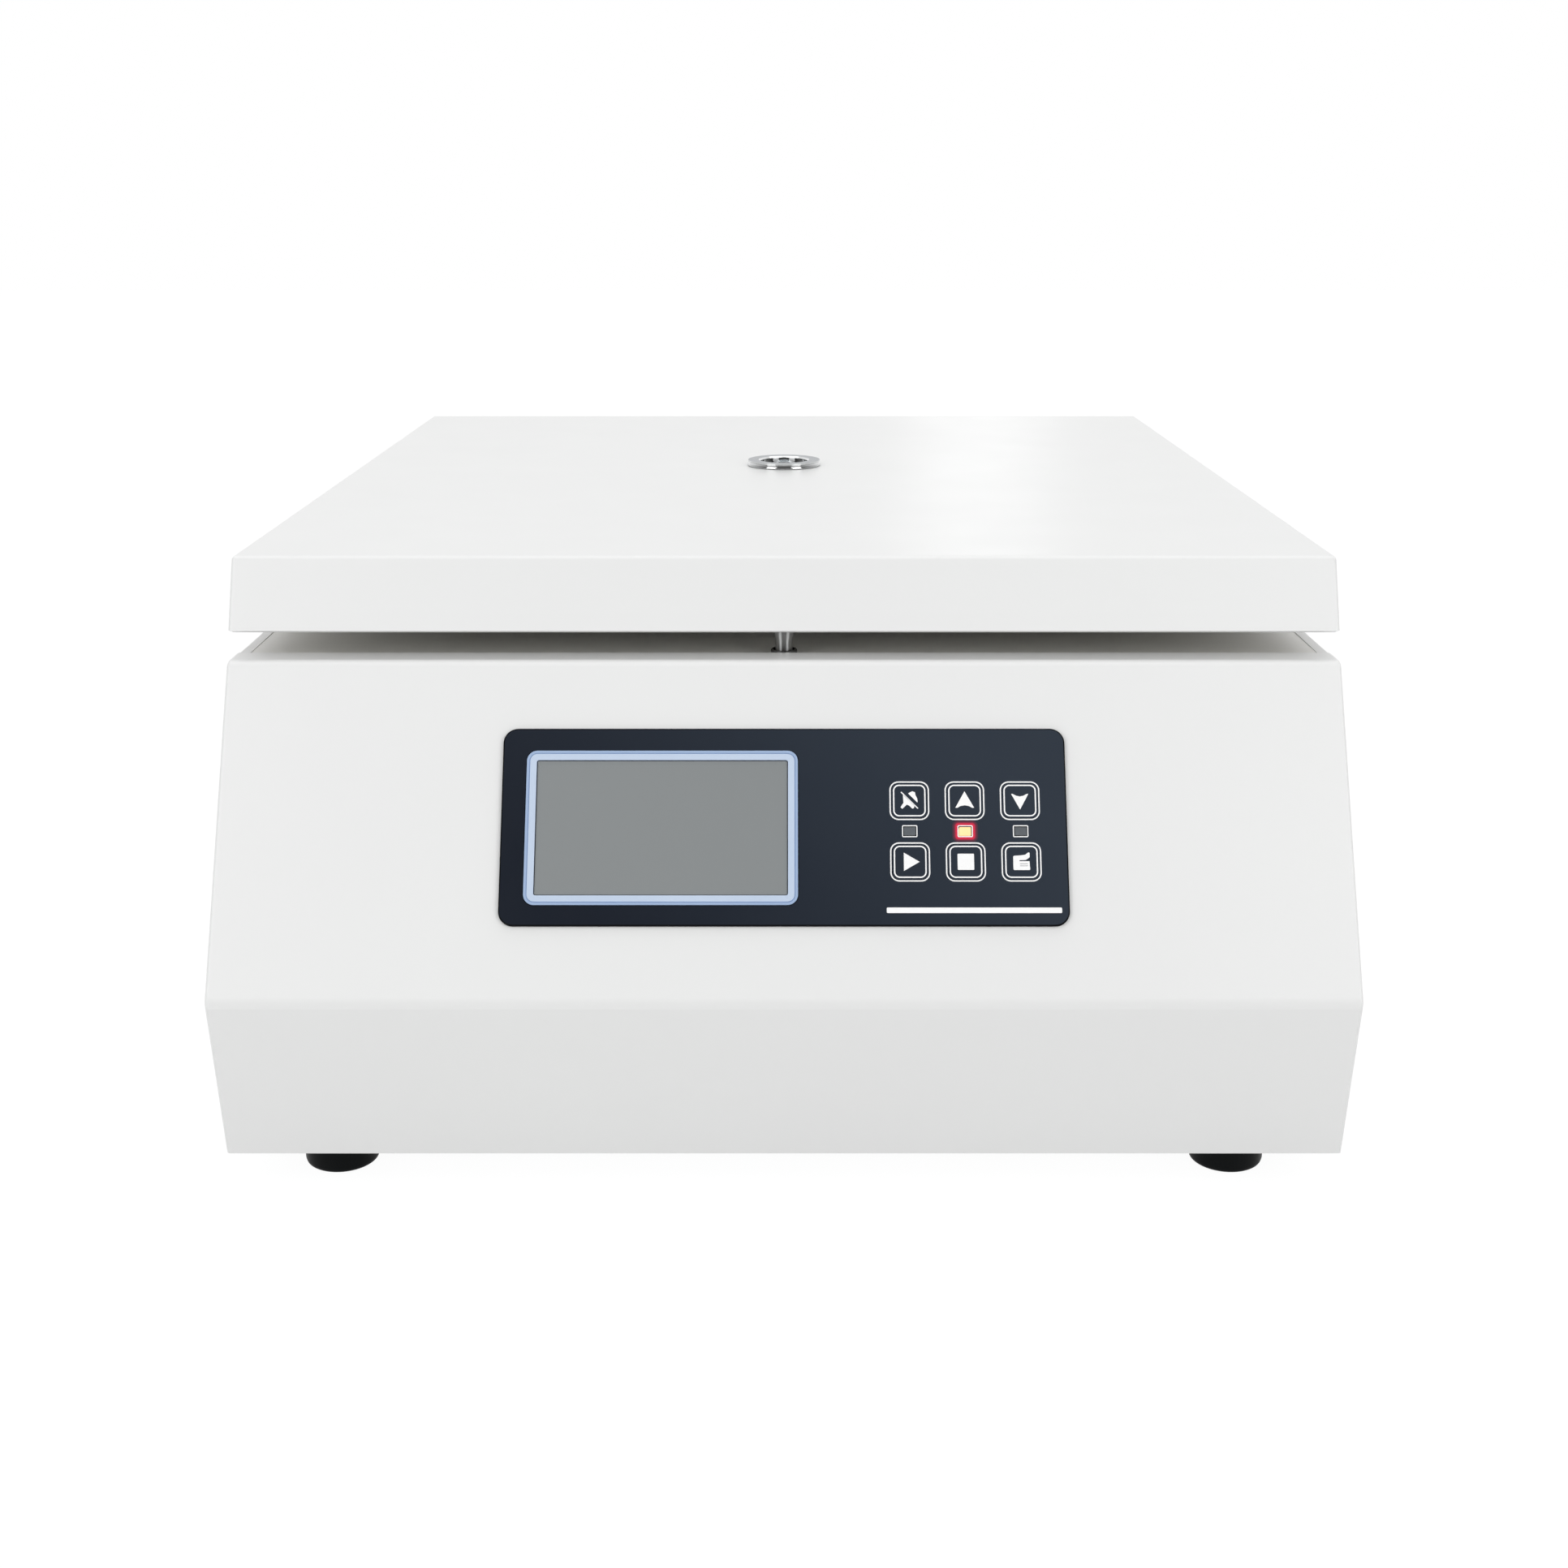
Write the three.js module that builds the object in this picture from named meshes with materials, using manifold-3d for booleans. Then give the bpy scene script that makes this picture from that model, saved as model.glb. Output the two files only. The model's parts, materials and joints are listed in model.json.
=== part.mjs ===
// Bench centrifuge: sheet-metal housing with a sloped control front, a hinged box lid with a
// sight port, a round chamber with an angle rotor for six tubes, and a lid lock.
// Millimetres, +Z up, front faces -Y. Places are measured back from the fold of the front
// and up from the floor; the finished group is then centred on its footprint.

import * as THREE from "three";
import { mergeVertices } from "three/addons/utils/BufferGeometryUtils.js";
import Module from "manifold-3d";

const wasm = await Module();
wasm.setup();

// Clearances and modelling tolerances
const seatGap = 0.3; // between pieces fixed to each other
const runningGap = 0.5; // between a moving piece and what guides it
const overrun = 3; // how far a cutting tool stands out of the piece it cuts
const mergeTolerance = 0.001;

// Sheet thicknesses
const sheet = 2;
const linerSheet = 1.5;
const bowlSheet = 1.5;

// Housing, as a side outline pulled across the width
const caseWidth = 430;
const caseDepth = 559; // from the fold to the rear face
const lowerRise = 67; // bottom edge to fold
const lowerLean = 12.2; // bottom edge set back from the fold
const frontRise = 114.8; // fold to top edge
const frontLean = 66.8; // top edge set back from the fold
const foldRadius = 6;
const rimRadius = 2.5;
const caseCornerRadius = 2;
const caseEdgeRadius = 1.6; // rounding where the front turns into the sides
const rimDepth = 15.5; // flange behind the front's top edge
const ledgeWidth = 12; // side ledges that carry the deck
const ledgeFrontSetback = 40;

// Feet
const footHeight = 16;
const footTopRadius = 14.8;
const footBottomRadius = 14;
const footEdgeRadius = 1.5;
const footRecessRadius = 5;
const footRecessDepth = 9;
const footSideInset = 38.4; // foot's axis from the housing's side
const frontFootSetback = 40.2;
const rearFootSetback = 40;

// Deck and chamber
const deckSheet = 2;
const deckTuck = 6; // deck's front edge behind the front's top edge
const chamberCentreShare = 0.6109; // of the housing's depth
const chamberRadiusShare = 0.2952; // of the housing's depth
const chamberDraught = 5; // wall's top radius over its floor radius
const bowlFloorHeight = 84; // underside of the bowl's floor above the feet's soles
const bowlCornerRadius = 18;
const bowlFlangeWidth = 11;
const bowlConeRadius = 80; // where the floor starts to rise towards the middle
const bowlConeTopRadius = 34;
const bowlConeRise = 14;
const bowlHoleRadius = 24;
const sealWidth = 10;
const sealOverhang = 1; // seal's inner edge inside the bowl's wall
const sealCrownShare = 0.42; // share of the seal's height taken by its rounded top

// Lid
const lidGap = 10.7; // open gap between the housing's top edge and the lid
const lidHeight = 26.8;
const lidFrontSetback = 4.9; // lid's bottom front edge behind the housing's top front edge
const lidFrontLean = 13.2;
const lidTopRadius = 2.5;
const lidBottomRadius = 1.9;
const lidEdgeRadius = 1.6;
const linerRecess = 1; // liner's face above the lid's bottom edge
const linerPostRadius = 6;
const linerPostInset = 45;

// Sight port
const portFlangeRadius = 18.5;
const portFlangeHeight = 2.9;
const portFlangeBevel = 0.4;
const portLip = 0.8; // slope from the flat top into the hole
const portHoleRadius = 12;
const portBarrelRadius = 15.2;
const windowRadius = 12.9;
const windowThickness = 4.5;
const windowLedgeDepth = 4;
const windowCrown = 1;
const windowShoulderShares = [0.5, 0.75]; // of the window's radius and of its crown

// Striker pin and lid lock
const pinBehindRim = 22; // pin axis behind the front's top edge
const pinRadius = 3.4;
const pinCollarRadius = 3.7;
const pinCollarLength = 7.6;
const pinReach = 15; // tip below the housing's top edge
const pinNeckRadius = 1.5;
const pinNeckLength = 4.4;
const pinTipLength = 4; // below the neck
const pinTipRadius = 1.9;
const pinHeadRadius = 8;
const pinHeadHeight = 3;
const collarRadius = 5.25;
const collarBoreRadius = 4.2;
const collarFlangeHeight = 2;
const collarNeckRadius = 4.9;
const boltWidth = 9;
const boltThickness = 3;
const boltReach = 44;
const boltRodRadius = 2.4;
const boltRodLength = 30;
const boltThrow = 7;
const boltPark = 1.2; // gap between the parked bolt and the pin
const guideWidth = 17;
const guideWall = 2.5;
const guideLength = 46;
const guideBehindPin = 10; // how far the guide reaches past the pin on the open side
const solenoidWidth = 24;
const solenoidLength = 38;
const solenoidHeight = 22;

// Hinges
const hingeSideInset = 90; // hinge's middle from the housing's side
const hingeLength = 50;
const hingeBarrelRadius = 4.5;
const hingeLeafSheet = 2;
const hingePinRadius = 2;
const hingeAboveRim = 5.3;
const bodyLeafDrop = 32;
const lidLeafRise = 26;
const knuckleShare = 0.25; // each outer knuckle's share of the hinge's length
const hingePinOverhang = 1.2;

// Angle rotor
const tubeCount = 6;
const tubeLean = THREE.MathUtils.degToRad(35);
const mouthRadius = 58; // tube mouth's centre from the shaft
const mouthHeight = 180;
const sleeveRadius = 17;
const sleeveWall = 1.8;
const sleeveLength = 98;
const sleeveRimRadius = 19.5;
const sleeveRimHeight = 2.4;
const sleeveFloor = 2;
const sleeveEndShares = [
  [1, 0.08],
  [0.88, 0.02],
  [0.6, 0],
]; // radius and rise of the rounded end, as shares of the sleeve's radius and length
const headWall = 4.5;
const headPlate = 10;
const headSkirt = 82; // skirt's length along the tubes
const headCrestInset = 1.8;
const headCentreRadius = 27;
const headConeStartRadius = 30;
const headCentreHeight = 152;
const hubRadius = 24;
const hubBottomHeight = 112;
const shaftRadius = 8;
const shaftTopRadius = 7;
const threadRadius = 5;
const threadLength = 15;
const shaftBottomHeight = 80;
const nutRadius = 14; // over the corners of its hexagon
const nutHexHeight = 12;
const nutCapRadius = 11;
const nutCapHeight = 9;
const nutCapBevel = 1.6;
const nutSides = 6;

// Motor and its mounting
const motorBottomHeight = 26;
const motorRadius = 48;
const motorFlangeRadius = 60;
const motorFlangeHeight = 4.4;
const motorCapRadius = 45;
const motorCapTopHeight = 74;
const motorNeckRadius = 20;
const motorNeckTopHeight = 106;
const motorPlateRadius = 86;
const motorPlateSheet = 4;
const damperCount = 3;
const damperRadius = 13;
const damperWaistRadius = 10;
const damperHeight = 28;
const damperCircleRadius = 68;
const bootFlangeRadius = 30;
const bootFlangeHeight = 2.5;
const bootSkirt = 8;
const bootLipHeight = 3;

// Control front, measured down the slope from its top edge
const overlayWidth = 213.8;
const overlayHeight = 76.3;
const overlayTop = 27.3;
const overlayRadius = 5.6;
const overlayThickness = 1.2;
const overlayBorder = 7; // overlay's seat on the sheet all round
const displaySideGap = 9.25; // overlay's edge to the display's frame
const displayTopGap = 8.85;
const displayBottomGap = 7.95;
const displayKeyGap = 35.05; // display's frame to the first column of keys
const frameRadius = 4;
const frameStandOff = 0.4; // frame's face above the overlay's
const frameThickness = 2.6;
const frameSideBand = 3.75;
const frameTopBand = 3.65;
const screenRecess = 0.6;
const moduleInset = 1.45; // display module's edge inside the frame's
const keySideGap = 10.6; // last column of keys to the overlay's edge
const keyPitch = 20.9;
const keyRowPitch = 23.6;
const keyBlockDrop = 1.95; // middle of the key block below the overlay's
const keyHole = 14.2;
const keyHoleRadius = 2.8;
const keyStandOff = 0.25;
const keyTravel = 0.5;
const keyFlange = 15.6;
const keyFlangeThickness = 1.2;
const keyStemRadius = 2.5;
const keyStemLength = 2.4;
const lampWidth = 5;
const lampHeight = 3.8;
const boardDepth = 9; // board's face behind the front's face
const boardThickness = 1.6;
const boardMargin = 2.5; // board beyond the overlay all round
const boardPostRadius = 3;
const boardPostInset = 3.6;
const switchBase = 6.2;
const switchPlungerRadius = 1.7;
const switchPlungerLength = 0.9;

// Rear panel, mains inlet and mains switch, seen from behind
const ventSlotWidth = 3;
const ventSlotHeight = 44;
const ventPitch = 9;
const ventCount = 9;
const ventSideInset = 105; // middle of a group of slots from the housing's side
const ventCentreHeight = 120;
const inletSideInset = 65;
const inletHeight = 52;
const inletFlangeWidth = 50;
const inletFlangeHeight = 24;
const inletFlangeThickness = 2.5;
const inletBodyWidth = 28;
const inletBodyHeight = 21;
const inletBodyDepth = 24;
const inletCavityWidth = 24.4;
const inletCavityHeight = 16.4;
const inletCavityDepth = 17;
const inletChamfer = 4.5;
const inletPinWidth = 2;
const inletPinHeight = 4;
const inletPinLength = 14;
const inletPinSpacing = 7;
const inletPinDrop = 2;
const switchInletPitch = 50; // switch's middle from the inlet's
const switchFrameWidth = 17;
const switchFrameHeight = 26;
const switchFrameThickness = 2;
const switchBodyWidth = 14;
const switchBodyHeight = 22;
const switchBodyDepth = 18;
const switchWindowWidth = 11;
const switchWindowHeight = 18;
const switchWindowDepth = 10;
const rockerTilt = THREE.MathUtils.degToRad(10);
const rockerMiddle = 2.2; // where the rocker's two faces meet, in front of its pivot
const rockerPivotDepth = 1; // pivot behind the frame's face
const rockerBack = 2; // back of the rocker behind its pivot
const rockerKeel = 4; // keel below the back
const rockerKeelWidth = 5;

// Boards on the base plate
const tableBoardThickness = 1.6;
const boardStandHeight = 8;
const boardStandRadius = 4;
const powerBoardWidth = 84;
const powerBoardDepth = 120;
const driveBoardWidth = 84;
const driveBoardDepth = 100;
const tableBoardSideGap = 14;
const tableBoardRearGap = 24;
const baseFlangeHeight = 16;
const baseSlotWidth = 3;
const baseSlotLength = 60;
const baseSlotPitch = 10;
const baseSlotCount = 7;

// Sizes, heights and places worked out from the sizes above
const bottomZ = footHeight;
const foldZ = bottomZ + lowerRise;
const rimZ = foldZ + frontRise;
const lidBottomZ = rimZ + lidGap;
const lidTopZ = lidBottomZ + lidHeight;
const innerHalfWidth = caseWidth / 2 - sheet;
const rearInnerY = caseDepth - sheet;
const deckTopZ = rimZ - sheet - seatGap;
const deckBottomZ = deckTopZ - deckSheet;
const baseTopZ = bottomZ + sheet;
const linerZ = lidBottomZ + linerRecess;
const lidFrontY = frontLean + lidFrontSetback;
const pinY = frontLean + pinBehindRim;
const hingeY = caseDepth + seatGap + hingeBarrelRadius;
const hingeZ = rimZ + hingeAboveRim;
const overallDepth = hingeY + hingeBarrelRadius;
const footSpacing = caseWidth - 2 * footSideInset;
const hingeSpacing = caseWidth - 2 * hingeSideInset;
const ventGroupOffset = caseWidth / 2 - ventSideInset;
const inletX = caseWidth / 2 - inletSideInset;
const switchX = inletX - switchInletPitch;
const chamberCentreDepth = caseDepth * chamberCentreShare;
const chamberRadius = caseDepth * chamberRadiusShare;
const chamberFloorRadius = chamberRadius - chamberDraught;
const bowlFlangeRadius = chamberRadius + bowlFlangeWidth;
const sealInnerRadius = chamberRadius - sealOverhang;
const sealOuterRadius = sealInnerRadius + sealWidth;
const overlayCentreDown = overlayTop + overlayHeight / 2;
const keyBlockWidth = 2 * keyPitch + keyHole;
const keyBlockCentreX = overlayWidth / 2 - keySideGap - keyBlockWidth / 2;
const lampRowDown = overlayCentreDown + keyBlockDrop;
const keyRowTopDown = lampRowDown - keyRowPitch / 2;
const keyRowBottomDown = lampRowDown + keyRowPitch / 2;
const frameWidth = overlayWidth - displaySideGap - displayKeyGap - keyBlockWidth - keySideGap;
const frameHeight = overlayHeight - displayTopGap - displayBottomGap;
const displayCentreX = displaySideGap + (frameWidth - overlayWidth) / 2;
const displayCentreDown = overlayTop + displayTopGap + frameHeight / 2;
const windowWidth = frameWidth - 2 * frameSideBand;
const windowHeight = frameHeight - 2 * frameTopBand;
const moduleWidth = frameWidth - 2 * moduleInset;
const moduleHeight = frameHeight - 2 * moduleInset;
const slope = Math.atan2(frontRise, frontLean);
const lowerSlope = Math.atan2(lowerRise, lowerLean);
const boltZ = rimZ - pinReach + pinTipLength + (pinNeckLength - boltThickness) / 2;

// Smoothness of round pieces
const bigRound = 40;
const midRound = 28;
const smallRound = 18;
const tinyRound = 8;
const cornerSteps = 2;

// Materials
const finish = (color, roughness, metalness = 0) =>
  new THREE.MeshStandardMaterial({ color, roughness, metalness });
const whitePaint = finish("#ebecec", 0.45);
const greyPaint = finish("#d8d7d2", 0.4);
const stainless = finish("#b9bcbf", 0.3, 1);
const chrome = finish("#d5d8da", 0.12, 1);
const zincSteel = finish("#9da2a6", 0.4, 0.9);
const aluminium = finish("#a9adb2", 0.35, 0.9);
const blackRubber = finish("#101214", 0.8);
const darkOverlay = finish("#2d343c", 0.35);
const blueFrame = finish("#c1d4e8", 0.4);
const screenGlass = finish("#8b8f90", 0.25);
const keyPlastic = finish("#30373f", 0.45);
const lampPlastic = finish("#61666d", 0.4);
const circuitGreen = finish("#2d5a3a", 0.6);
const blackPlastic = finish("#17191b", 0.5);
const motorBlack = finish("#2a2c2f", 0.5, 0.6);
const clearGlass = finish("#1c2226", 0.08);

// Solids: closed geometries become manifolds for joining and cutting, and come back flat shaded.
function solidOf(geometry) {
  const bare = geometry.index ? geometry.toNonIndexed() : geometry.clone();
  bare.deleteAttribute("normal");
  bare.deleteAttribute("uv");
  const merged = mergeVertices(bare, mergeTolerance);
  return new wasm.Manifold(
    new wasm.Mesh({
      numProp: 3,
      vertProperties: merged.attributes.position.array,
      triVerts: new Uint32Array(merged.index.array),
    }),
  );
}

function geometryOf(solid) {
  const mesh = solid.getMesh();
  const geometry = new THREE.BufferGeometry();
  geometry.setAttribute("position", new THREE.BufferAttribute(mesh.vertProperties, mesh.numProp));
  geometry.setIndex(new THREE.BufferAttribute(mesh.triVerts, 1));
  const flat = geometry.toNonIndexed();
  flat.computeVertexNormals();
  return flat;
}

const join = (...pieces) => geometryOf(pieces.map(solidOf).reduce((all, next) => all.add(next)));
const cut = (body, ...tools) =>
  geometryOf(tools.map(solidOf).reduce((left, tool) => left.subtract(tool), solidOf(body)));

// A box from its two corners.
function boxBetween([x0, x1], [y0, y1], [z0, z1]) {
  const box = new THREE.BoxGeometry(x1 - x0, y1 - y0, z1 - z0);
  return box.translate((x0 + x1) / 2, (y0 + y1) / 2, (z0 + z1) / 2);
}

// An upright cylinder from one height to another.
function rod(radius, [z0, z1], [x, y] = [0, 0], sides = smallRound) {
  const bar = new THREE.CylinderGeometry(radius, radius, z1 - z0, sides);
  return bar.rotateX(Math.PI / 2).translate(x, y, (z0 + z1) / 2);
}

// A round piece turned about Z from its [radius, height] outline, in either direction.
function turned(outline, sides = midRound) {
  const points = outline.map(([radius, height]) => new THREE.Vector2(radius, height));
  if (THREE.ShapeUtils.area(points) < 0) points.reverse();
  const closed = points[0].x > 0 || points[points.length - 1].x > 0;
  if (closed) points.push(points[0].clone());
  return new THREE.LatheGeometry(points, sides).rotateX(Math.PI / 2);
}

// A closed outline through [x, y, radius] corners, each rounded by its own radius.
function roundedShape(corners) {
  const points = corners.flatMap(([x, y, radius = 0], i) => {
    const corner = new THREE.Vector2(x, y);
    if (radius === 0) return [corner];
    const before = corners[(i + corners.length - 1) % corners.length];
    const after = corners[(i + 1) % corners.length];
    const back = new THREE.Vector2(before[0], before[1]).sub(corner).normalize();
    const on = new THREE.Vector2(after[0], after[1]).sub(corner).normalize();
    const half = Math.acos(back.dot(on)) / 2;
    const inward = back.clone().add(on).normalize();
    const centre = corner.clone().addScaledVector(inward, radius / Math.sin(half));
    const start = corner.clone().addScaledVector(back, radius / Math.tan(half));
    const turn = (Math.PI - 2 * half) * Math.sign(on.cross(back));
    return Array.from({ length: cornerSteps + 1 }, (_, step) =>
      start.clone().rotateAround(centre, (turn * step) / cornerSteps),
    );
  });
  return new THREE.Shape(points);
}

// A round outline, for a disc or a hole.
function circle(radius, sides, x = 0, y = 0) {
  const points = Array.from({ length: sides }, (_, i) => {
    const angle = (i / sides) * 2 * Math.PI;
    return new THREE.Vector2(x + radius * Math.cos(angle), y + radius * Math.sin(angle));
  });
  return new THREE.Shape(points);
}

// The corners of a convex outline moved inwards by a wall's thickness.
function insetCorners(corners, distance) {
  return corners.map(([x, y, radius = 0], i) => {
    const corner = new THREE.Vector2(x, y);
    const before = corners[(i + corners.length - 1) % corners.length];
    const after = corners[(i + 1) % corners.length];
    const back = new THREE.Vector2(before[0], before[1]).sub(corner).normalize();
    const on = new THREE.Vector2(after[0], after[1]).sub(corner).normalize();
    const along = distance / Math.abs(back.cross(on));
    const moved = corner.addScaledVector(back, along).addScaledVector(on, along);
    return [moved.x, moved.y, Math.max(radius - distance, 0)];
  });
}

const rectangle = (width, height, radius = 0, x = 0, y = 0) =>
  roundedShape([
    [x - width / 2, y - height / 2, radius],
    [x + width / 2, y - height / 2, radius],
    [x + width / 2, y + height / 2, radius],
    [x - width / 2, y + height / 2, radius],
  ]);

// A flat shape given a thickness from one height to another.
function plate(shape, [z0, z1]) {
  const options = { depth: z1 - z0, bevelEnabled: false };
  return new THREE.ExtrudeGeometry(shape, options).translate(0, 0, z0);
}

// A flat piece with openings cut through it.
function piercedPlate(shape, openings, [z0, z1]) {
  const tools = openings.map((opening) => plate(opening, [z0 - overrun, z1 + overrun]));
  return cut(plate(shape, [z0, z1]), ...tools);
}

// A side outline, drawn as depth and height, pulled across the width with rounded edges.
function acrossWidth(shape, width, edgeRadius = 0) {
  const options = {
    depth: width - 2 * edgeRadius,
    bevelEnabled: edgeRadius > 0,
    bevelThickness: edgeRadius,
    bevelSize: edgeRadius,
    bevelOffset: -edgeRadius,
    bevelSegments: cornerSteps,
  };
  const body = new THREE.ExtrudeGeometry(shape, options).translate(0, 0, edgeRadius - width / 2);
  const turn = new THREE.Matrix4().makeBasis(
    new THREE.Vector3(0, 1, 0),
    new THREE.Vector3(0, 0, 1),
    new THREE.Vector3(1, 0, 0),
  );
  return body.applyMatrix4(turn);
}

// A sheet that follows a path of [radius, height] points, as an outline for turning.
function sheetOutline(path, thickness) {
  const points = path.map(([radius, height]) => new THREE.Vector2(radius, height));
  const offset = points.map((point, i) => {
    const arriving = point.clone().sub(points[Math.max(i - 1, 0)]).normalize();
    const leaving = points[Math.min(i + 1, points.length - 1)].clone().sub(point).normalize();
    const before = i > 0 ? arriving : leaving;
    const after = i < points.length - 1 ? leaving : arriving;
    const middle = before.clone().add(after).normalize();
    const reach = thickness / middle.dot(after);
    return [point.x - middle.y * reach, point.y + middle.x * reach];
  });
  return [...path, ...offset.reverse()];
}

// The assembly and its frames: the sloped front, the rear face and the chamber's axis
const root = new THREE.Group();
const assembly = new THREE.Group();
assembly.position.y = -overallDepth / 2;
root.add(assembly);

const front = new THREE.Group(); // x right, y up the slope, z out of the front
front.position.set(0, frontLean, rimZ);
front.rotation.x = slope;
front.updateMatrix();

const rear = new THREE.Group(); // x left as seen from the front, y up, z out of the rear
rear.position.y = caseDepth;
rear.rotation.set(Math.PI / 2, Math.PI, 0);
rear.updateMatrix();

const chamber = new THREE.Group();
chamber.position.y = chamberCentreDepth;
assembly.add(front, rear, chamber);

function addPiece(parent, name, geometry, material) {
  const mesh = new THREE.Mesh(geometry, material);
  mesh.name = name;
  parent.add(mesh);
  return mesh;
}

const caseCorners = [
  [lowerLean, bottomZ, caseCornerRadius],
  [0, foldZ, foldRadius],
  [frontLean, rimZ, rimRadius],
  [caseDepth, rimZ, caseCornerRadius],
  [caseDepth, bottomZ, caseCornerRadius],
].reverse();

// Front, sides and top flange in one bent and welded sheet, open below, above and behind.
function housingShell() {
  const outer = acrossWidth(roundedShape(caseCorners), caseWidth, caseEdgeRadius);
  const hollow = acrossWidth(roundedShape(insetCorners(caseCorners, sheet)), 2 * innerHalfWidth);
  const inside = [-innerHalfWidth, innerHalfWidth];
  const topOpening = boxBetween(
    inside,
    [frontLean + rimDepth, caseDepth],
    [rimZ - sheet - overrun, rimZ + overrun],
  );
  const floorOpening = boxBetween(
    inside,
    [lowerLean + sheet / Math.sin(lowerSlope), caseDepth],
    [bottomZ - overrun, bottomZ + sheet + overrun],
  );
  const rearOpening = boxBetween(
    inside,
    [rearInnerY - overrun, caseDepth + overrun],
    [bottomZ - overrun, rimZ + overrun],
  );
  const panelCut = rectangle(
    overlayWidth - 2 * overlayBorder,
    overlayHeight - 2 * overlayBorder,
    overlayRadius,
    0,
    -overlayCentreDown,
  );
  const panelOpening = plate(panelCut, [-sheet - overrun, overrun]).applyMatrix4(front.matrix);
  const shell = cut(outer, hollow, topOpening, floorOpening, rearOpening, panelOpening);
  const ledgeZ = [deckBottomZ - seatGap - sheet, deckBottomZ - seatGap];
  const ledgeY = [frontLean + ledgeFrontSetback, rearInnerY - seatGap];
  const intoWall = sheet / 2;
  const ledges = [-1, 1].map((side) =>
    boxBetween(
      [side * (innerHalfWidth + intoWall), side * (innerHalfWidth - ledgeWidth)].sort((a, b) => a - b),
      ledgeY,
      ledgeZ,
    ),
  );
  return join(shell, ...ledges);
}

// Flat rear sheet between the sides, with two groups of vent slots and the mains cut-outs.
function rearPanel() {
  const width = 2 * (innerHalfWidth - seatGap);
  const height = rimZ - bottomZ;
  const fitted = 2 * seatGap;
  const openings = [
    rectangle(inletBodyWidth + fitted, inletBodyHeight + fitted, 0, inletX, inletHeight),
    rectangle(switchBodyWidth + fitted, switchBodyHeight + fitted, 0, switchX, inletHeight),
  ];
  for (const side of [-1, 1]) {
    for (let i = 0; i < ventCount; i++) {
      const x = side * ventGroupOffset + (i - (ventCount - 1) / 2) * ventPitch;
      openings.push(rectangle(ventSlotWidth, ventSlotHeight, 0, x, ventCentreHeight));
    }
  }
  const shape = rectangle(width, height, 0, 0, bottomZ + height / 2);
  return piercedPlate(shape, openings, [-sheet, 0]);
}

// Tray-shaped base sheet with turned-up sides and vent slots under the motor.
function basePlate() {
  const half = innerHalfWidth - seatGap;
  const frontY = lowerLean + sheet / Math.sin(lowerSlope) + seatGap;
  const rearY = rearInnerY - seatGap;
  const floor = boxBetween([-half, half], [frontY, rearY], [bottomZ, baseTopZ]);
  const flangeY = [frontY + sheet, rearY - baseFlangeHeight];
  const flanges = [-1, 1].map((side) =>
    boxBetween(
      [side * half, side * (half - sheet)].sort((a, b) => a - b),
      flangeY,
      [bottomZ, bottomZ + baseFlangeHeight],
    ),
  );
  const slots = [];
  for (let i = 0; i < baseSlotCount; i++) {
    const x = (i - (baseSlotCount - 1) / 2) * baseSlotPitch;
    slots.push(
      boxBetween(
        [x - baseSlotWidth / 2, x + baseSlotWidth / 2],
        [chamberCentreDepth - baseSlotLength / 2, chamberCentreDepth + baseSlotLength / 2],
        [bottomZ - overrun, baseTopZ + overrun],
      ),
    );
  }
  return cut(join(floor, ...flanges), ...slots);
}

// Deck sheet with the round chamber opening and the lock collar's hole.
function deckPlate() {
  const half = innerHalfWidth - seatGap;
  const frontY = frontLean + deckTuck;
  const rearY = rearInnerY - seatGap;
  const shape = rectangle(2 * half, rearY - frontY, 0, 0, (frontY + rearY) / 2);
  const openings = [
    circle(chamberRadius + bowlSheet + seatGap, bigRound, 0, chamberCentreDepth),
    circle(collarNeckRadius + seatGap, smallRound, 0, pinY),
  ];
  return piercedPlate(shape, openings, [deckBottomZ, deckTopZ]);
}

// Rubber foot with a recess for its screw.
function foot() {
  const top = footHeight - seatGap;
  return turned(
    [
      [0, footRecessDepth],
      [footRecessRadius, footRecessDepth],
      [footRecessRadius, 0],
      [footBottomRadius - footEdgeRadius, 0],
      [footBottomRadius, footEdgeRadius],
      [footTopRadius, top],
      [0, top],
    ],
    smallRound,
  );
}

// Spun stainless bowl: flange on the deck, wall, rounded corner, raised middle with a hole.
function chamberBowl() {
  const corner = (turn) => [
    chamberFloorRadius + bowlSheet - bowlCornerRadius * (1 - Math.cos(turn)),
    bowlFloorHeight + bowlCornerRadius * (1 - Math.sin(turn)),
  ];
  const under = [
    [bowlFlangeRadius, deckTopZ + seatGap],
    [chamberRadius + bowlSheet, deckTopZ + seatGap],
    corner(0),
    corner(Math.PI / 4),
    corner(Math.PI / 2),
    [bowlConeRadius, bowlFloorHeight],
    [bowlConeTopRadius, bowlFloorHeight + bowlConeRise],
    [bowlHoleRadius, bowlFloorHeight + bowlConeRise],
  ];
  return turned(sheetOutline(under, -bowlSheet), bigRound);
}

// Rubber ring on the bowl's flange, rounded where the liner rests on it.
function chamberSeal() {
  const base = deckTopZ + seatGap + bowlSheet + seatGap;
  const top = linerZ - seatGap;
  const crown = (top - base) * sealCrownShare;
  const middle = (sealInnerRadius + sealOuterRadius) / 2;
  const half = (sealOuterRadius - sealInnerRadius) / 2;
  const arc = [0, Math.PI / 4, Math.PI / 2, (3 * Math.PI) / 4, Math.PI].map((turn) => [
    middle + half * Math.cos(turn),
    top - crown + crown * Math.sin(turn),
  ]);
  return turned([[sealInnerRadius, base], [sealOuterRadius, base], ...arc], bigRound);
}

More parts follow.
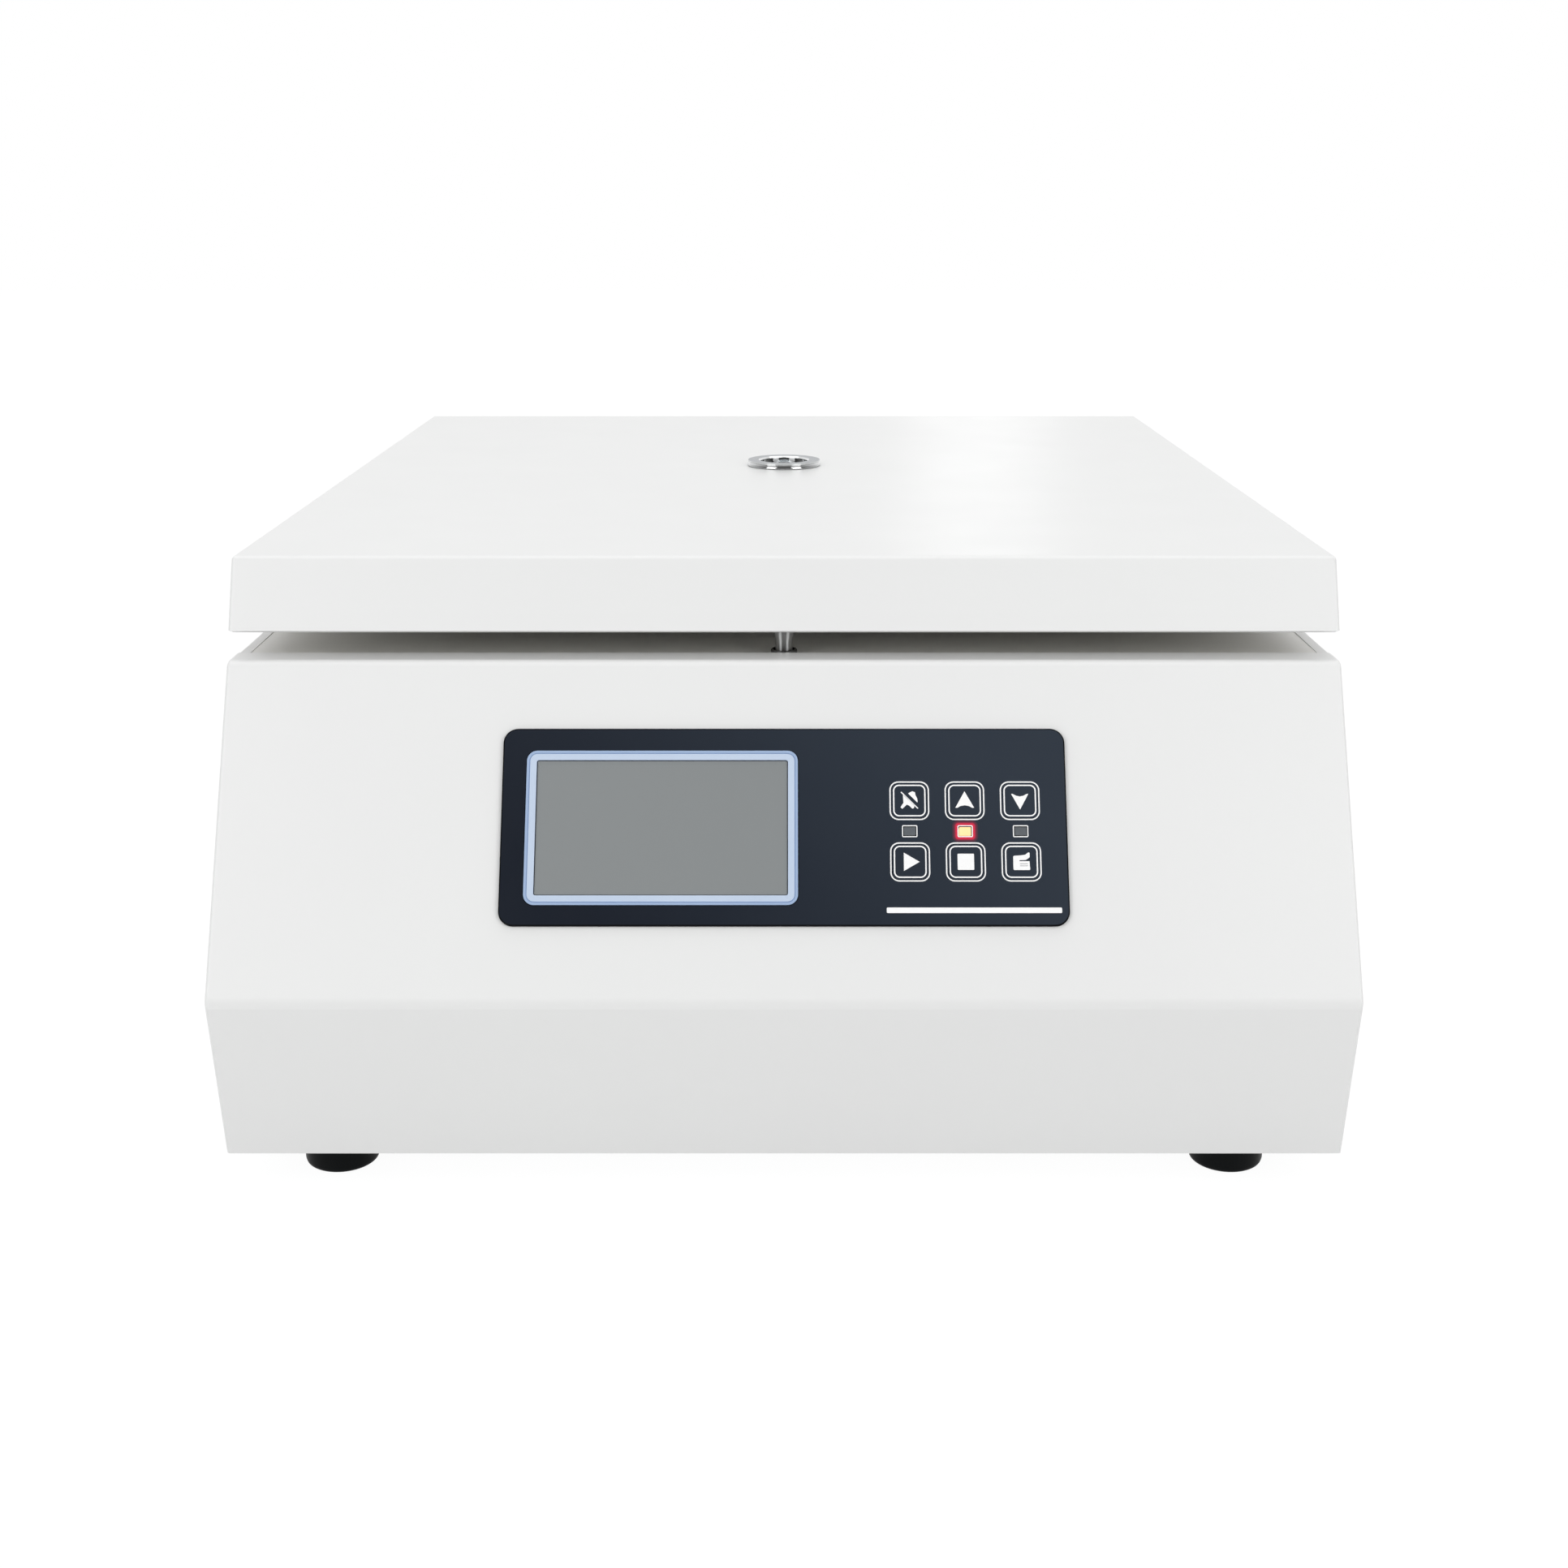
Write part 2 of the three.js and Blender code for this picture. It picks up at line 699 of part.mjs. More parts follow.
// Rubber boot that closes the bowl's hole round the motor's neck.
function spindleBoot() {
  const bowlTop = bowlFloorHeight + bowlConeRise + bowlSheet;
  const inner = motorNeckRadius + seatGap;
  const outer = bowlHoleRadius - seatGap;
  const flangeZ = bowlTop + seatGap;
  return turned([
    [inner, bowlTop - bootSkirt],
    [outer, bowlTop - bootSkirt],
    [outer, flangeZ],
    [bootFlangeRadius, flangeZ],
    [bootFlangeRadius, flangeZ + bootFlangeHeight],
    [inner + bootLipHeight, flangeZ + bootFlangeHeight],
    [inner, flangeZ + bootFlangeHeight + bootLipHeight],
  ]);
}

// Motor with its mounting flange on the motor plate and a neck that reaches into the chamber.
function motorHousing() {
  const flangeZ = motorPlateTopZ + seatGap;
  const boreRadius = shaftRadius + runningGap;
  return turned([
    [0, motorBottomHeight],
    [motorRadius, motorBottomHeight],
    [motorRadius, flangeZ],
    [motorFlangeRadius, flangeZ],
    [motorFlangeRadius, flangeZ + motorFlangeHeight],
    [motorCapRadius, flangeZ + motorFlangeHeight],
    [motorCapRadius, motorCapTopHeight],
    [motorNeckRadius, motorCapTopHeight],
    [motorNeckRadius, motorNeckTopHeight],
    [boreRadius, motorNeckTopHeight],
    [boreRadius, shaftBottomHeight - runningGap],
    [0, shaftBottomHeight - runningGap],
  ]);
}

const damperTopZ = baseTopZ + seatGap + damperHeight;
const motorPlateTopZ = damperTopZ + seatGap + motorPlateSheet;

// Round plate that carries the motor on its dampers.
function motorPlate() {
  const opening = circle(motorRadius + seatGap, midRound);
  const heights = [motorPlateTopZ - motorPlateSheet, motorPlateTopZ];
  return piercedPlate(circle(motorPlateRadius, midRound), [opening], heights);
}

// Waisted rubber damper.
function motorDamper() {
  const bottom = baseTopZ + seatGap;
  const waist = damperRadius - damperWaistRadius;
  return turned(
    [
      [0, bottom],
      [damperRadius, bottom],
      [damperRadius, bottom + waist],
      [damperWaistRadius, bottom + 2 * waist],
      [damperWaistRadius, damperTopZ - 2 * waist],
      [damperRadius, damperTopZ - waist],
      [damperRadius, damperTopZ],
      [0, damperTopZ],
    ],
    smallRound,
  );
}

// Skirted angle head: the upper cone faces the tubes, with a flat seat sunk round each bore for
// the sleeve's rim, and the skirt follows the sleeves' outer side.
function rotorHead() {
  const across = [Math.cos(tubeLean), Math.sin(tubeLean)];
  const down = [Math.sin(tubeLean), -Math.cos(tubeLean)];
  const at = (out, along) => [
    mouthRadius + out * across[0] + along * down[0],
    mouthHeight + out * across[1] + along * down[1],
  ];
  const coneHeight = (radius) => mouthHeight + (radius - mouthRadius) * Math.tan(tubeLean);
  const inner = sleeveRadius + seatGap;
  const outer = inner + headWall;
  const boreBottom = shaftRadius + seatGap;
  const boreTop = shaftTopRadius + seatGap;
  const head = turned(
    [
      [boreBottom, hubBottomHeight],
      [hubRadius, hubBottomHeight],
      [hubRadius, coneHeight(hubRadius) - headPlate / Math.cos(tubeLean)],
      at(inner, headPlate),
      at(inner, headSkirt),
      at(outer, headSkirt),
      at(outer, headCrestInset),
      at(outer - headCrestInset, 0),
      [headConeStartRadius, coneHeight(headConeStartRadius)],
      [headCentreRadius, headCentreHeight],
      [boreTop, headCentreHeight],
    ],
    bigRound,
  );
  const bores = [];
  const seatTop = sleeveRimHeight + 2 * overrun;
  for (let i = 0; i < tubeCount; i++) {
    const bore = rod(sleeveRadius + seatGap, [-headPlate - overrun, seatTop], [0, 0], smallRound);
    const seat = rod(sleeveRimRadius + seatGap, [0, seatTop], [0, 0], smallRound);
    for (const tool of [bore, seat]) {
      tool.rotateY(-tubeLean).translate(mouthRadius, 0, mouthHeight);
      bores.push(tool.rotateZ(tubeAngle(i)));
    }
  }
  return cut(head, ...bores);
}

const tubeAngle = (i) => ((i + 1 / 2) * 2 * Math.PI) / tubeCount;

// Metal sleeve for one tube: a rim that hangs on the head's cone and a rounded end.
function tubeSleeve() {
  const bore = sleeveRadius - sleeveWall;
  const outside = sleeveEndShares.map(([radiusShare, riseShare]) => [
    sleeveRadius * radiusShare,
    -sleeveLength * (1 - riseShare),
  ]);
  const inside = sleeveEndShares.map(([radiusShare, riseShare]) => [
    bore * radiusShare,
    sleeveFloor - sleeveLength * (1 - riseShare),
  ]);
  return turned(
    [
      [0, -sleeveLength],
      ...outside.reverse(),
      [sleeveRadius, seatGap],
      [sleeveRimRadius, seatGap],
      [sleeveRimRadius, seatGap + sleeveRimHeight],
      [bore, seatGap + sleeveRimHeight],
      ...inside,
      [0, sleeveFloor - sleeveLength],
    ],
    smallRound,
  );
}

// Tapered drive shaft with a threaded end for the nut.
function driveShaft() {
  return turned(
    [
      [0, shaftBottomHeight],
      [shaftRadius, shaftBottomHeight],
      [shaftRadius, hubBottomHeight],
      [shaftTopRadius, headCentreHeight - seatGap],
      [threadRadius, headCentreHeight - seatGap],
      [threadRadius, headCentreHeight + threadLength],
      [0, headCentreHeight + threadLength],
    ],
    smallRound,
  );
}

// Rotor nut: hexagonal below, round cap above, blind thread hole from below.
function rotorNut() {
  const bottom = headCentreHeight + seatGap;
  const hexTop = bottom + nutHexHeight;
  const top = hexTop + nutCapHeight;
  const hex = rod(nutRadius, [bottom, hexTop], [0, 0], nutSides);
  const cap = turned(
    [
      [0, hexTop - nutCapBevel],
      [nutCapRadius, hexTop - nutCapBevel],
      [nutCapRadius, top - nutCapBevel],
      [nutCapRadius - nutCapBevel, top],
      [0, top],
    ],
    smallRound,
  );
  const thread = rod(threadRadius + seatGap, [bottom - overrun, bottom + threadLength], [0, 0]);
  return cut(join(hex, cap), thread);
}

// Box lid: folded sheet with a sloped front edge, open below, with the sight port's hole.
function lidShell() {
  const corners = [
    [lidFrontY, lidBottomZ, lidBottomRadius],
    [lidFrontY + lidFrontLean, lidTopZ, lidTopRadius],
    [caseDepth, lidTopZ, lidTopRadius],
    [caseDepth, lidBottomZ, lidBottomRadius],
  ].reverse();
  const outer = acrossWidth(roundedShape(corners), caseWidth, lidEdgeRadius);
  const wall = insetCorners(corners, sheet);
  const hollow = acrossWidth(roundedShape(wall), 2 * innerHalfWidth);
  const lidSlope = Math.atan2(lidHeight, lidFrontLean);
  const innerFrontY = (rise) => lidFrontY + rise / Math.tan(lidSlope) + sheet / Math.sin(lidSlope);
  const opening = acrossWidth(
    roundedShape([
      [rearInnerY, lidBottomZ - overrun],
      [rearInnerY, lidBottomZ + sheet + overrun],
      [innerFrontY(sheet + overrun), lidBottomZ + sheet + overrun],
      [innerFrontY(-overrun), lidBottomZ - overrun],
    ]),
    2 * innerHalfWidth,
  );
  const portHole = rod(
    portBarrelRadius + seatGap,
    [lidTopZ - sheet - overrun, lidTopZ + overrun],
    [0, chamberCentreDepth],
    midRound,
  );
  return cut(outer, hollow, opening, portHole);
}

// Flat liner that closes the lid below and presses on the seal, with four posts to the lid's top.
function lidLiner() {
  const half = innerHalfWidth - seatGap;
  const lidSlope = Math.atan2(lidHeight, lidFrontLean);
  const frontY =
    lidFrontY + (linerRecess + linerSheet) / Math.tan(lidSlope) + sheet / Math.sin(lidSlope) + seatGap;
  const rearY = rearInnerY - seatGap;
  const face = boxBetween([-half, half], [frontY, rearY], [linerZ, linerZ + linerSheet]);
  const posts = [-1, 1].flatMap((side) =>
    [frontY + linerPostInset, rearY - linerPostInset].map((y) =>
      rod(
        linerPostRadius,
        [linerZ + linerSheet / 2, lidTopZ - sheet - seatGap],
        [side * (half - linerPostInset), y],
        tinyRound,
      ),
    ),
  );
  const through = [linerZ - overrun, linerZ + linerSheet + overrun];
  const portHole = rod(portBarrelRadius + seatGap, through, [0, chamberCentreDepth], midRound);
  const pinHole = rod(pinCollarRadius + seatGap, through, [0, pinY], smallRound);
  return cut(join(face, ...posts), portHole, pinHole);
}

// Bright flat ring round the sight port, with a barrel down to the liner.
function sightPortRing() {
  const top = lidTopZ;
  const faceZ = top + portFlangeHeight;
  return turned([
    [portFlangeRadius, top + seatGap],
    [portFlangeRadius, faceZ - portFlangeBevel],
    [portFlangeRadius - portFlangeBevel, faceZ],
    [portHoleRadius + portLip, faceZ],
    [portHoleRadius, faceZ - portLip],
    [portHoleRadius, top - windowLedgeDepth],
    [windowRadius + seatGap, top - windowLedgeDepth],
    [windowRadius + seatGap, linerZ],
    [portBarrelRadius, linerZ],
    [portBarrelRadius, top + seatGap],
  ]);
}

// Clear stepped window that fills the ring from below.
function sightPortWindow() {
  const step = lidTopZ - windowLedgeDepth - seatGap;
  const neck = portHoleRadius - seatGap;
  const [outShare, riseShare] = windowShoulderShares;
  return turned([
    [0, step - windowThickness],
    [windowRadius, step - windowThickness],
    [windowRadius, step],
    [neck, step],
    [neck, lidTopZ],
    [neck * outShare, lidTopZ + windowCrown * riseShare],
    [0, lidTopZ + windowCrown],
  ]);
}

// Striker pin: head on the liner, collar, stem, neck for the bolt and a tapered tip.
function strikerPin() {
  const headZ = linerZ + linerSheet + seatGap;
  const tipZ = rimZ - pinReach;
  const neckZ = tipZ + pinTipLength;
  return turned(
    [
      [0, tipZ],
      [pinTipRadius, tipZ],
      [pinRadius, tipZ + pinTipLength / 2],
      [pinRadius, neckZ],
      [pinNeckRadius, neckZ],
      [pinNeckRadius, neckZ + pinNeckLength],
      [pinRadius, neckZ + pinNeckLength],
      [pinRadius, headZ - pinCollarLength - seatGap],
      [pinCollarRadius, headZ - pinCollarLength],
      [pinCollarRadius, headZ],
      [pinHeadRadius, headZ],
      [pinHeadRadius, headZ + pinHeadHeight],
      [0, headZ + pinHeadHeight],
    ],
    smallRound,
  );
}

const guideTopZ = deckBottomZ - seatGap;
const guideBottomZ = boltZ - runningGap - guideWall;

// Bright collar through the deck that the pin drops into.
function lockCollar() {
  const flangeZ = deckTopZ + seatGap;
  return turned(
    [
      [collarBoreRadius, guideTopZ],
      [collarNeckRadius, guideTopZ],
      [collarNeckRadius, flangeZ],
      [collarRadius, flangeZ],
      [collarRadius, flangeZ + collarFlangeHeight - seatGap],
      [collarRadius - seatGap, flangeZ + collarFlangeHeight],
      [collarBoreRadius, flangeZ + collarFlangeHeight],
    ],
    smallRound,
  );
}

// Block under the deck with a channel for the bolt and a hole for the pin.
function lockGuide() {
  const block = boxBetween(
    [-guideBehindPin, guideLength - guideBehindPin],
    [pinY - guideWidth / 2, pinY + guideWidth / 2],
    [guideBottomZ, guideTopZ - seatGap],
  );
  const channel = boxBetween(
    [-guideBehindPin - overrun, guideLength - guideBehindPin + overrun],
    [pinY - boltWidth / 2 - runningGap, pinY + boltWidth / 2 + runningGap],
    [boltZ - runningGap, boltZ + boltThickness + runningGap],
  );
  const pinHole = rod(
    collarBoreRadius,
    [guideBottomZ - overrun, guideTopZ + overrun],
    [0, pinY],
    smallRound,
  );
  return cut(block, channel, pinHole);
}

const boltTipX = pinRadius + boltPark;

// Flat bolt with a forked end, and the round rod that the solenoid pulls.
function lockBolt() {
  const flat = boxBetween(
    [boltTipX, boltTipX + boltReach],
    [pinY - boltWidth / 2, pinY + boltWidth / 2],
    [boltZ, boltZ + boltThickness],
  );
  const slotHalf = pinNeckRadius + runningGap;
  const slotEnd = boltThrow + runningGap + pinNeckRadius;
  const slot = boxBetween(
    [boltTipX - overrun, slotEnd],
    [pinY - slotHalf, pinY + slotHalf],
    [boltZ - overrun, boltZ + boltThickness + overrun],
  );
  const bar = new THREE.CylinderGeometry(boltRodRadius, boltRodRadius, boltRodLength, tinyRound);
  bar.rotateZ(Math.PI / 2);
  bar.translate(boltTipX + boltReach + boltRodLength / 2 - overrun, pinY, boltZ + boltThickness / 2);
  return join(cut(flat, slot), bar);
}

// Solenoid hung under the deck, open where the bolt's rod enters.
function lockSolenoid() {
  const startX = boltTipX + boltReach + runningGap;
  const middleZ = boltZ + boltThickness / 2;
  const top = guideTopZ - seatGap;
  const body = boxBetween(
    [startX, startX + solenoidLength],
    [pinY - solenoidWidth / 2, pinY + solenoidWidth / 2],
    [top - solenoidHeight, top],
  );
  const boreRadius = boltRodRadius + runningGap;
  const bore = new THREE.CylinderGeometry(boreRadius, boreRadius, boltRodLength + overrun, smallRound);
  bore.rotateZ(Math.PI / 2).translate(startX + (boltRodLength - overrun) / 2, pinY, middleZ);
  return cut(body, bore);
}

const overlayBackZ = seatGap;
const overlayFaceZ = overlayBackZ + overlayThickness;
const keyRows = [keyRowTopDown, keyRowBottomDown];
const keyColumns = [-1, 0, 1].map((step) => keyBlockCentreX + step * keyPitch);
const boardFaceZ = -boardDepth;

// Dark plate on the sloped front, with openings for the display, the keys and the lamps.
function panelOverlay() {
  const shape = rectangle(overlayWidth, overlayHeight, overlayRadius, 0, -overlayCentreDown);
  const fitted = 2 * seatGap;
  const openings = [
    rectangle(
      frameWidth + fitted,
      frameHeight + fitted,
      frameRadius + seatGap,
      displayCentreX,
      -displayCentreDown,
    ),
  ];
  for (const x of keyColumns) {
    for (const down of keyRows) {
      openings.push(rectangle(keyHole, keyHole, keyHoleRadius, x, -down));
    }
    openings.push(rectangle(lampWidth, lampHeight, 0, x, -lampRowDown));
  }
  return piercedPlate(shape, openings, [overlayBackZ, overlayFaceZ]);
}

// Raised light-blue border of the display.
function displayFrame() {
  const shape = rectangle(frameWidth, frameHeight, frameRadius, displayCentreX, -displayCentreDown);
  const opening = rectangle(windowWidth, windowHeight, 0, displayCentreX, -displayCentreDown);
  const face = overlayFaceZ + frameStandOff;
  return piercedPlate(shape, [opening], [face - frameThickness, face]);
}

// Display module: glass in the frame's window, body behind the frame down to the board.
function displayScreen() {
  const face = overlayFaceZ + frameStandOff - screenRecess;
  const back = overlayFaceZ + frameStandOff - frameThickness - seatGap;
  const fitted = 2 * seatGap;
  const centre = [displayCentreX, -displayCentreDown];
  const glass = rectangle(windowWidth - fitted, windowHeight - fitted, 0, ...centre);
  const module = rectangle(moduleWidth, moduleHeight, 0, ...centre);
  return join(
    plate(glass, [back - seatGap, face]),
    plate(module, [boardFaceZ + seatGap, back]),
  );
}

// Key: rounded cap in the overlay's hole, retaining flange behind it, stem to its switch.
function keyCap(x, down) {
  const cap = keyHole - 2 * seatGap;
  const capShape = rectangle(cap, cap, keyHoleRadius - seatGap, x, -down);
  const flangeShape = rectangle(keyFlange, keyFlange, keyHoleRadius, x, -down);
  const flangeZ = overlayBackZ - seatGap;
  const stemZ = flangeZ - keyFlangeThickness;
  const insideFlange = flangeZ - keyFlangeThickness / 2;
  return join(
    plate(capShape, [insideFlange, overlayFaceZ + keyStandOff]),
    plate(flangeShape, [stemZ, flangeZ]),
    rod(keyStemRadius, [stemZ - keyStemLength, insideFlange], [x, -down], tinyRound),
  );
}

// Light guide of one lamp, from the board to the overlay's face.
function lamp(x) {
  const fitted = 2 * seatGap;
  const shape = rectangle(lampWidth - fitted, lampHeight - fitted, 0, x, -lampRowDown);
  return plate(shape, [boardFaceZ + seatGap, overlayFaceZ]);
}

// Board behind the front: posts to the sheet, one small switch behind each key.
function controlBoard() {
  const width = overlayWidth + 2 * boardMargin;
  const height = overlayHeight + 2 * boardMargin;
  const shape = rectangle(width, height, 0, 0, -overlayCentreDown);
  const board = plate(shape, [boardFaceZ - boardThickness, boardFaceZ]);
  const posts = [-1, 1].flatMap((sideX) =>
    [-1, 1].map((sideY) =>
      rod(
        boardPostRadius,
        [boardFaceZ - boardThickness / 2, -sheet - seatGap],
        [
          sideX * (width / 2 - boardPostInset),
          sideY * (height / 2 - boardPostInset) - overlayCentreDown,
        ],
        tinyRound,
      ),
    ),
  );
  const plungerTop = overlayBackZ - seatGap - keyFlangeThickness - keyStemLength - keyTravel - seatGap;
  const switches = keyColumns.flatMap((x) =>
    keyRows.flatMap((down) => [
      boxBetween(
        [x - switchBase / 2, x + switchBase / 2],
        [-down - switchBase / 2, -down + switchBase / 2],
        [boardFaceZ - boardThickness / 2, plungerTop - switchPlungerLength],
      ),
      rod(
        switchPlungerRadius,
        [boardFaceZ - boardThickness / 2, plungerTop],
        [x, -down],
        tinyRound,
      ),
    ]),
  );
  return join(board, ...posts, ...switches);
}

// Mains inlet socket with three flat pins in its cavity.
function powerInlet() {
  const flange = plate(rectangle(inletFlangeWidth, inletFlangeHeight, inletChamfer), [
    seatGap,
    seatGap + inletFlangeThickness,
  ]);
  const body = plate(rectangle(inletBodyWidth, inletBodyHeight), [
    seatGap + inletFlangeThickness / 2 - inletBodyDepth,
    seatGap + inletFlangeThickness / 2,
  ]);
  const halfWidth = inletCavityWidth / 2;
  const halfHeight = inletCavityHeight / 2;
  const face = seatGap + inletFlangeThickness;
  const cavity = plate(
    roundedShape([
      [-halfWidth, -halfHeight],
      [halfWidth, -halfHeight],
      [halfWidth, halfHeight - inletChamfer],
      [halfWidth - inletChamfer, halfHeight],
      [inletChamfer - halfWidth, halfHeight],
      [-halfWidth, halfHeight - inletChamfer],
    ]),
    [face - inletCavityDepth, face + overrun],
  );
  const floor = face - inletCavityDepth;
  const pins = [-1, 0, 1].map((step) => {
    const x = step * inletPinSpacing;
    const y = (step === 0 ? 1 : -1) * inletPinDrop;
    return boxBetween(
      [x - inletPinWidth / 2, x + inletPinWidth / 2],
      [y - inletPinHeight / 2, y + inletPinHeight / 2],
      [floor - overrun, floor + inletPinLength],
    );
  });
  return join(cut(join(flange, body), cavity), ...pins);
}

// Frame of the mains switch: a box with a window for the rocker.
function switchFrame() {
  const face = seatGap + switchFrameThickness;
  const flange = plate(rectangle(switchFrameWidth, switchFrameHeight), [seatGap, face]);
  const body = plate(rectangle(switchBodyWidth, switchBodyHeight), [
    face - switchBodyDepth,
    seatGap + switchFrameThickness / 2,
  ]);
  const window = plate(rectangle(switchWindowWidth, switchWindowHeight), [
    face - switchWindowDepth,
    face + overrun,
  ]);
  return cut(join(flange, body), window);
}

// Rocker: two faces that meet in a shallow trough over a keel, at rest with its upper end in.
function switchRocker() {
  const half = switchWindowHeight / 2 - 2 * runningGap;
  const end = rockerMiddle + half * Math.tan(rockerTilt);
  const keel = rockerBack + rockerKeel;
  const shape = roundedShape([
    [-rockerKeelWidth / 2, -keel],
    [rockerKeelWidth / 2, -keel],
    [half - runningGap, -rockerBack],
    [half, end],
    [0, rockerMiddle],
    [-half, end],
    [runningGap - half, -rockerBack],
  ]);
  return acrossWidth(shape, switchWindowWidth - 2 * runningGap).rotateX(-rockerTilt);
}

// One half of a hinge: a flat leaf with its knuckles, the pin's hole through them.
function hingeLeaf(x, up) {
  const outer = hingeLength * knuckleShare;
  const half = hingeLength / 2;
  const spans = up
    ? [[-half + outer + seatGap, half - outer - seatGap]]
    : [
        [-half, -half + outer],
        [half - outer, half],
      ];
  const leafZ = up
    ? [hingeZ, hingeZ + lidLeafRise]
    : [hingeZ - bodyLeafDrop, hingeZ];
  const leafY = [caseDepth + seatGap, caseDepth + seatGap + hingeLeafSheet];
  const knuckle = ([from, to], radius, beyond = 0) => {
    const barrel = new THREE.CylinderGeometry(radius, radius, to - from + 2 * beyond, smallRound);
    return barrel.rotateZ(Math.PI / 2).translate(x + (from + to) / 2, hingeY, hingeZ);
  };
  const clearZ = up
    ? [hingeZ + hingeBarrelRadius + seatGap, hingeZ + lidLeafRise]
    : [hingeZ - bodyLeafDrop, hingeZ - hingeBarrelRadius - seatGap];
  const leaf = boxBetween([x - half, x + half], leafY, clearZ);
  const roots = spans.map(([from, to]) => boxBetween([x + from, x + to], leafY, leafZ));
  const solid = join(leaf, ...roots, ...spans.map((span) => knuckle(span, hingeBarrelRadius)));
  return cut(solid, knuckle([-half, half], hingePinRadius + seatGap, overrun));
}

// Hinge pin, a little longer than the knuckles.
function hingePin(x) {
  const length = hingeLength + 2 * hingePinOverhang;
  const pin = new THREE.CylinderGeometry(hingePinRadius, hingePinRadius, length, tinyRound);
  return pin.rotateZ(Math.PI / 2).translate(x, hingeY, hingeZ);
}

// Circuit board on stand-offs, with blocks of the given share sizes on it.
function tableBoard(x, y, width, depth, partShares) {
  const boardZ = baseTopZ + seatGap + boardStandHeight;
  const top = boardZ + tableBoardThickness;
  const board = boxBetween([x - width / 2, x + width / 2], [y - depth / 2, y + depth / 2], [boardZ, top]);
  const stands = [-1, 1].flatMap((sideX) =>
    [-1, 1].map((sideY) =>
      rod(
        boardStandRadius,
        [baseTopZ + seatGap, boardZ + tableBoardThickness / 2],
        [
          x + sideX * (width / 2 - 2 * boardStandRadius),
          y + sideY * (depth / 2 - 2 * boardStandRadius),
        ],
        tinyRound,
      ),
    ),
  );
  const parts = partShares.map(([atX, atY, spanX, spanY, rise]) =>
    boxBetween(
      [x + (atX - spanX / 2) * width, x + (atX + spanX / 2) * width],
      [y + (atY - spanY / 2) * depth, y + (atY + spanY / 2) * depth],
      [boardZ + tableBoardThickness / 2, top + rise * width],
    ),
  );
  return join(board, ...stands, ...parts);
}

// Transformer, capacitor blocks and heat sink, as centre, span and rise shares of the board.
const powerPartShares = [
  [-0.2, -0.25, 0.42, 0.28, 0.32],
  [0.28, -0.28, 0.26, 0.2, 0.38],
  [0.28, 0.05, 0.26, 0.2, 0.38],
  [-0.2, 0.25, 0.4, 0.1, 0.3],
];
const drivePartShares = [
  [0, 0.32, 0.8, 0.12, 0.36],
  [-0.25, -0.1, 0.3, 0.3, 0.12],
  [0.25, -0.15, 0.24, 0.24, 0.3],
];

// Housing, base and feet
addPiece(assembly, "housing_shell", housingShell(), whitePaint);
addPiece(rear, "rear_panel", rearPanel(), whitePaint);
addPiece(assembly, "base_plate", basePlate(), zincSteel);
addPiece(assembly, "deck_plate", deckPlate(), greyPaint);
for (const [side, sideName] of [[-1, "left"], [1, "right"]]) {
  for (const [y, endName] of [
    [frontFootSetback, "front"],
    [caseDepth - rearFootSetback, "rear"],
  ]) {
    const mesh = addPiece(assembly, `foot_${endName}_${sideName}`, foot(), blackRubber);
    mesh.position.set((side * footSpacing) / 2, y, 0);
  }
}

// Chamber, rotor and motor on the chamber's axis
addPiece(chamber, "chamber_bowl", chamberBowl(), stainless);
addPiece(chamber, "chamber_seal", chamberSeal(), blackRubber);
addPiece(chamber, "spindle_boot", spindleBoot(), blackRubber);
addPiece(chamber, "motor_housing", motorHousing(), motorBlack);
addPiece(chamber, "motor_plate", motorPlate(), zincSteel);
for (let i = 0; i < damperCount; i++) {
  const angle = ((i + 1 / 4) * 2 * Math.PI) / damperCount;
  const mesh = addPiece(chamber, `motor_damper_${i + 1}`, motorDamper(), blackRubber);
  mesh.position.set(damperCircleRadius * Math.cos(angle), damperCircleRadius * Math.sin(angle), 0);
}
addPiece(chamber, "rotor_head", rotorHead(), aluminium);
for (let i = 0; i < tubeCount; i++) {
  const arm = new THREE.Group();
  arm.rotation.z = tubeAngle(i);
  chamber.add(arm);
  const mesh = addPiece(arm, `tube_sleeve_${i + 1}`, tubeSleeve(), stainless);
  mesh.position.set(mouthRadius, 0, mouthHeight);
  mesh.rotation.y = -tubeLean;
}
addPiece(chamber, "drive_shaft", driveShaft(), zincSteel);
addPiece(chamber, "rotor_nut", rotorNut(), chrome);

// Lid
addPiece(assembly, "lid_shell", lidShell(), whitePaint);
addPiece(assembly, "lid_liner", lidLiner(), greyPaint);
addPiece(chamber, "sight_port_ring", sightPortRing(), chrome);
addPiece(chamber, "sight_port_window", sightPortWindow(), clearGlass);
const striker = addPiece(assembly, "striker_pin", strikerPin(), chrome);
striker.position.y = pinY;

// Lid lock
const collar = addPiece(assembly, "lock_collar", lockCollar(), chrome);
collar.position.y = pinY;
addPiece(assembly, "lock_guide", lockGuide(), zincSteel);
addPiece(assembly, "lock_bolt", lockBolt(), zincSteel);
addPiece(assembly, "lock_solenoid", lockSolenoid(), blackPlastic);

// Hinges
for (const [side, sideName] of [[-1, "left"], [1, "right"]]) {
  const x = (side * hingeSpacing) / 2;
  addPiece(assembly, `hinge_body_leaf_${sideName}`, hingeLeaf(x, false), zincSteel);
  addPiece(assembly, `hinge_lid_leaf_${sideName}`, hingeLeaf(x, true), zincSteel);
  addPiece(assembly, `hinge_pin_${sideName}`, hingePin(x), zincSteel);
}

